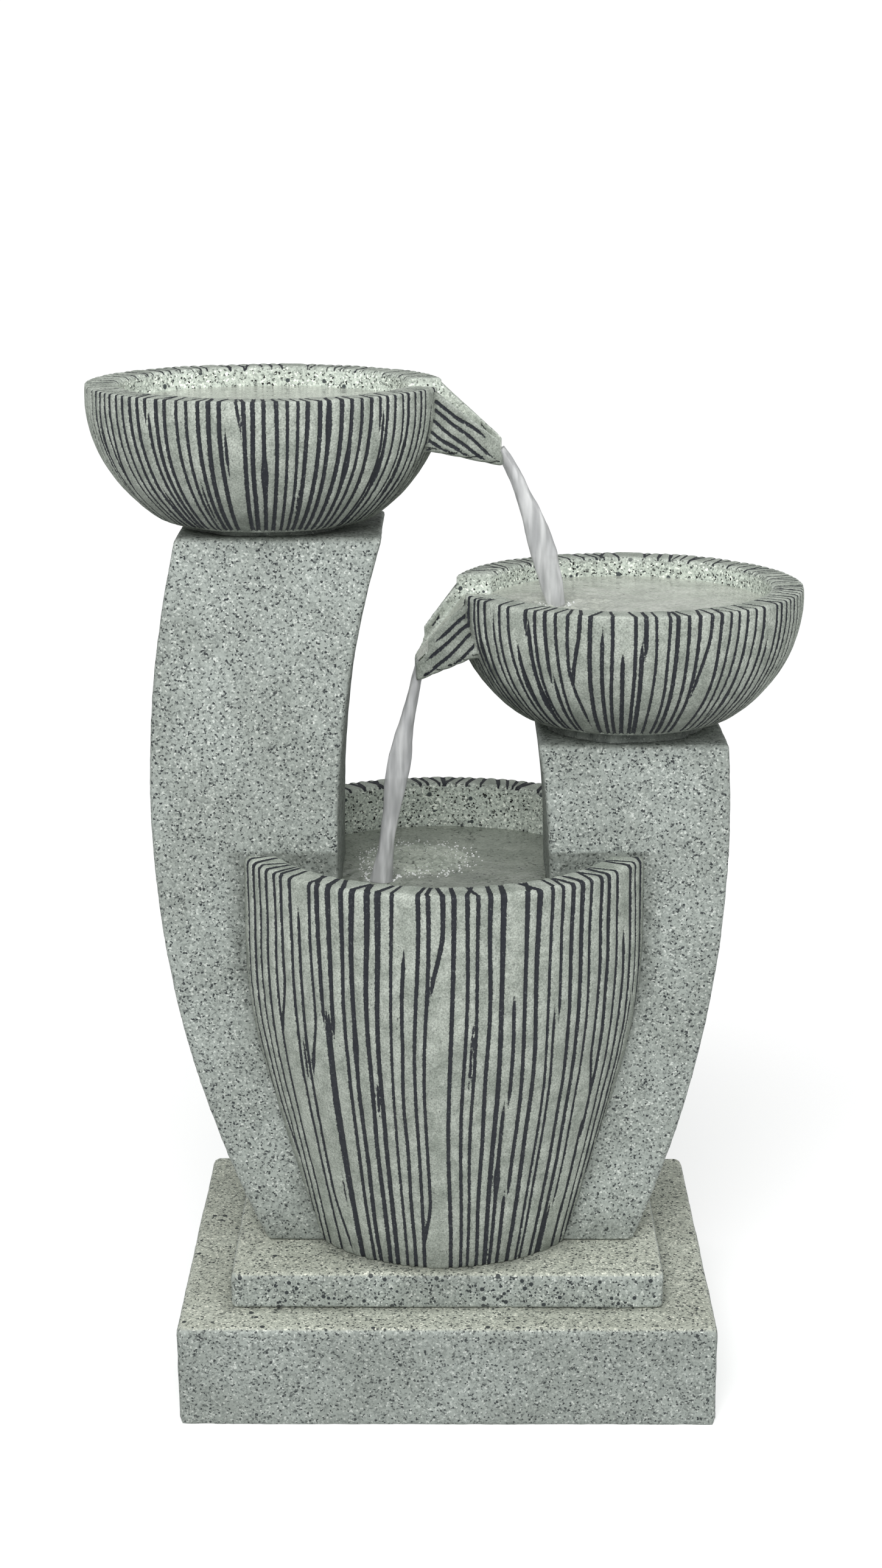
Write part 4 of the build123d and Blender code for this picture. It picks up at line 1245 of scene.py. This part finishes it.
def dome(points, faces, centre, radius):
    # one bubble, sitting a little more than half out of the water
    rings, spokes = bubbleShape["rings"], bubbleShape["spokes"]
    wrap = math.pi * bubbleShape["wrap"]
    start = len(points)
    for ring in range(rings):
        lift = wrap * (1 - ring / rings)
        for spoke in range(spokes):
            turn = 2 * math.pi * (spoke + 0.5 * (ring % 2)) / spokes
            points.append((
                centre[0] + radius * math.sin(lift) * math.cos(turn),
                centre[1] + radius * math.sin(lift) * math.sin(turn),
                centre[2] + radius * math.cos(lift),
            ))
    points.append((centre[0], centre[1], centre[2] + radius))
    points.append((centre[0], centre[1], centre[2] + radius * math.cos(wrap)))
    for ring in range(rings - 1):
        near = start + ring * spokes
        far = near + spokes
        for spoke in range(spokes):
            after = (spoke + 1) % spokes
            faces.append((near + spoke, near + after, far + after, far + spoke))
    last = start + (rings - 1) * spokes
    for spoke in range(spokes):
        faces.append((last + spoke, last + (spoke + 1) % spokes, len(points) - 2))
        faces.append((start + (spoke + 1) % spokes, start + spoke, len(points) - 1))


bubbles = {
    "pot_foam": {
        "pool": "pot_pool", "seed": 81,
        # centre, radii, count, bubble size range in mm
        "rings": [((-23, 47), (41, 42), 230, (0.35, 0.95)), ((-50, -4), (13, 10), 90, (0.4, 1.1)),
                  ((-58, 30), (9, 24), 40, (0.35, 0.9)), ((-23, 47), (24, 24), 60, (0.3, 0.6))],
    },
    "middle_foam": {
        "pool": "middle_pool", "seed": 87,
        "rings": [((79, -9), (12, 10), 60, (0.4, 1.0))],
    },
}


def floatBubbles(name, look):
    random = np.random.default_rng(look["seed"])
    pool = pools[look["pool"]]
    points, faces = [], []
    for centre, radii, count, sizes in look["rings"]:
        for _ in range(count):
            turn = random.uniform(0, 2 * math.pi)
            spreadOut = 1 + random.normal(0, 0.13)
            x = (centre[0] + radii[0] * spreadOut * math.cos(turn)) * mm
            y = (centre[1] + radii[1] * spreadOut * math.sin(turn)) * mm
            z = pool["z"] + float(poolHeight(pool, np.array([x]), np.array([y]))[0])
            dome(points, faces, (x, y, z), random.uniform(*sizes) * mm)
    obj = meshObject(name, points, faces)
    obj.data.materials.append(foamBubbles)
    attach(obj, "fountain")


for foamName, foamLook in bubbles.items():
    floatBubbles(foamName, foamLook)
print("foam floated")


# pump, hose and fittings keep their CAD shape
fittings = {
    # dark, pale, roughness from and to, grain in mm, bump in mm, metal
    "clear_hose": ((0.42, 0.46, 0.44), (0.60, 0.64, 0.61), (0.22, 0.38), 6, 0.05, 0.0),
    "clip_steel": ((0.45, 0.45, 0.46), (0.68, 0.68, 0.69), (0.25, 0.42), 1.2, 0.03, 1.0),
    "inlet_brass": ((0.46, 0.30, 0.11), (0.72, 0.53, 0.24), (0.22, 0.40), 3, 0.03, 1.0),
    "black_rubber": ((0.012, 0.012, 0.013), (0.035, 0.035, 0.036), (0.6, 0.8), 1.5, 0.08, 0.0),
    "pump_plastic": ((0.016, 0.018, 0.020), (0.036, 0.040, 0.044), (0.34, 0.50), 0.8, 0.06, 0.0),
    "dial_plastic": ((0.014, 0.06, 0.20), (0.025, 0.10, 0.30), (0.20, 0.32), 0.8, 0.04, 0.0),
    "rotor_plastic": ((0.50, 0.51, 0.53), (0.68, 0.69, 0.71), (0.35, 0.5), 1.2, 0.04, 0.0),
    "core_steel": ((0.06, 0.06, 0.065), (0.14, 0.14, 0.145), (0.4, 0.6), 0.6, 0.05, 1.0),
    "coil_copper": ((0.42, 0.15, 0.06), (0.66, 0.30, 0.14), (0.28, 0.4), 0.5, 0.12, 1.0),
    "potting_resin": ((0.008, 0.008, 0.010), (0.022, 0.022, 0.026), (0.12, 0.25), 7, 0.05, 0.0),
    "shaft_ceramic": ((0.72, 0.72, 0.70), (0.84, 0.84, 0.82), (0.10, 0.18), 2, 0.01, 0.0),
}


def fittingMaterial(slotName, look):
    material, tree = startMaterial(slotName + "_finish")
    dark, pale, roughRange, grainMm, bumpMm, metal = look
    coords = put(tree, "TexCoord").outputs["Object"]
    fine = grainNoise(tree, coords, grainMm, 3)
    broad = grainNoise(tree, coords, grainMm * 7, 3)
    mixed = spread(tree, work(tree, "ADD", fine, broad), 0.7, 1.3)
    colour = mixColour(tree, mixed, dark, pale)
    # edges lightened: partly wear, partly painted highlight
    worn = work(tree, "MULTIPLY", wearAndHighlightOf(tree), 0.4)
    colour = mixColour(tree, worn, colour, [min(1, 1.6 * c + 0.02) for c in pale])
    rough = spread(tree, broad, 0.3, 0.7, *roughRange)
    finishMaterial(tree, colour, rough, fine, bumpMm, Metallic=metal)
    return material


fittingFinishes = {slot: fittingMaterial(slot, look) for slot, look in fittings.items()}
for subpart in frame["record"]["subparts"]:
    slotName = subpart["material_slot"]
    if slotName in fittingFinishes:
        node = cadNodes[subpart["node"]]
        node.data.materials.clear()
        node.data.materials.append(fittingFinishes[slotName])
        node.data.shade_smooth()
print("fittings finished")


# floor
floorSides, floorRadius = studio["floorSides"], studio["floorRadius"]
floorPoints = [(0, 0, 0)]
for index in range(floorSides):
    turn = 2 * math.pi * index / floorSides
    floorPoints.append((floorRadius * math.cos(turn), floorRadius * math.sin(turn), 0))
floorFaces = [(0, 1 + i, 1 + (i + 1) % floorSides) for i in range(floorSides)]
floor = meshObject("floor", floorPoints, floorFaces)
paleFloor, floorTree = startMaterial("paleFloor")
floorCoords = put(floorTree, "TexCoord").outputs["Object"]
floorClouds = grainNoise(floorTree, floorCoords, 400, 3)
floorTone = mixColour(floorTree, floorClouds, *studio["floorTones"])
floorGrain = grainNoise(floorTree, floorCoords, 30, 2)
floorShader = finishMaterial(floorTree, floorTone, 0.9, floorGrain, 0.1)
floorShader.inputs["Emission Color"].default_value = (1, 1, 1, 1)
floorShader.inputs["Emission Strength"].default_value = studio["floorGlow"]
# the floor fades out, so it has no far edge
fromCentre = put(floorTree, "VectorMath", {0: floorCoords}, operation="LENGTH").outputs["Value"]
fadeAway = put(floorTree, "BsdfTransparent", {"Color": (1, 1, 1, 1)})
floorMix = put(floorTree, "MixShader")
floorTree.links.new(spread(floorTree, fromCentre, *studio["floorFade"]), floorMix.inputs[0])
floorTree.links.new(floorShader.outputs[0], floorMix.inputs[1])
floorTree.links.new(fadeAway.outputs[0], floorMix.inputs[2])
floorOut = [node for node in floorTree.nodes if node.type == "OUTPUT_MATERIAL"][0]
floorTree.links.new(floorMix.outputs[0], floorOut.inputs["Surface"])
floor.visible_diffuse = False
floor.data.materials.append(paleFloor)
print("floor laid")

# a white backdrop that only the camera sees, so it adds no light
backdropMesh = bmesh.new()
bmesh.ops.create_uvsphere(backdropMesh, u_segments=48, v_segments=24, radius=studio["backdropRadius"])
backdropData = bpy.data.meshes.new("backdrop")
backdropMesh.to_mesh(backdropData)
backdropMesh.free()
backdrop = bpy.data.objects.new("backdrop", backdropData)
scene.collection.objects.link(backdrop)
whitePaper, paperTree = startMaterial("whitePaper")
paperGlow = put(paperTree, "Emission", {"Color": (1, 1, 1, 1), "Strength": studio["backdropStrength"]})
paperOut = put(paperTree, "OutputMaterial")
paperTree.links.new(paperGlow.outputs[0], paperOut.inputs["Surface"])
backdropData.materials.append(whitePaper)
for rayKind in ("diffuse", "glossy", "transmission", "volume_scatter", "shadow"):
    setattr(backdrop, "visible_" + rayKind, False)
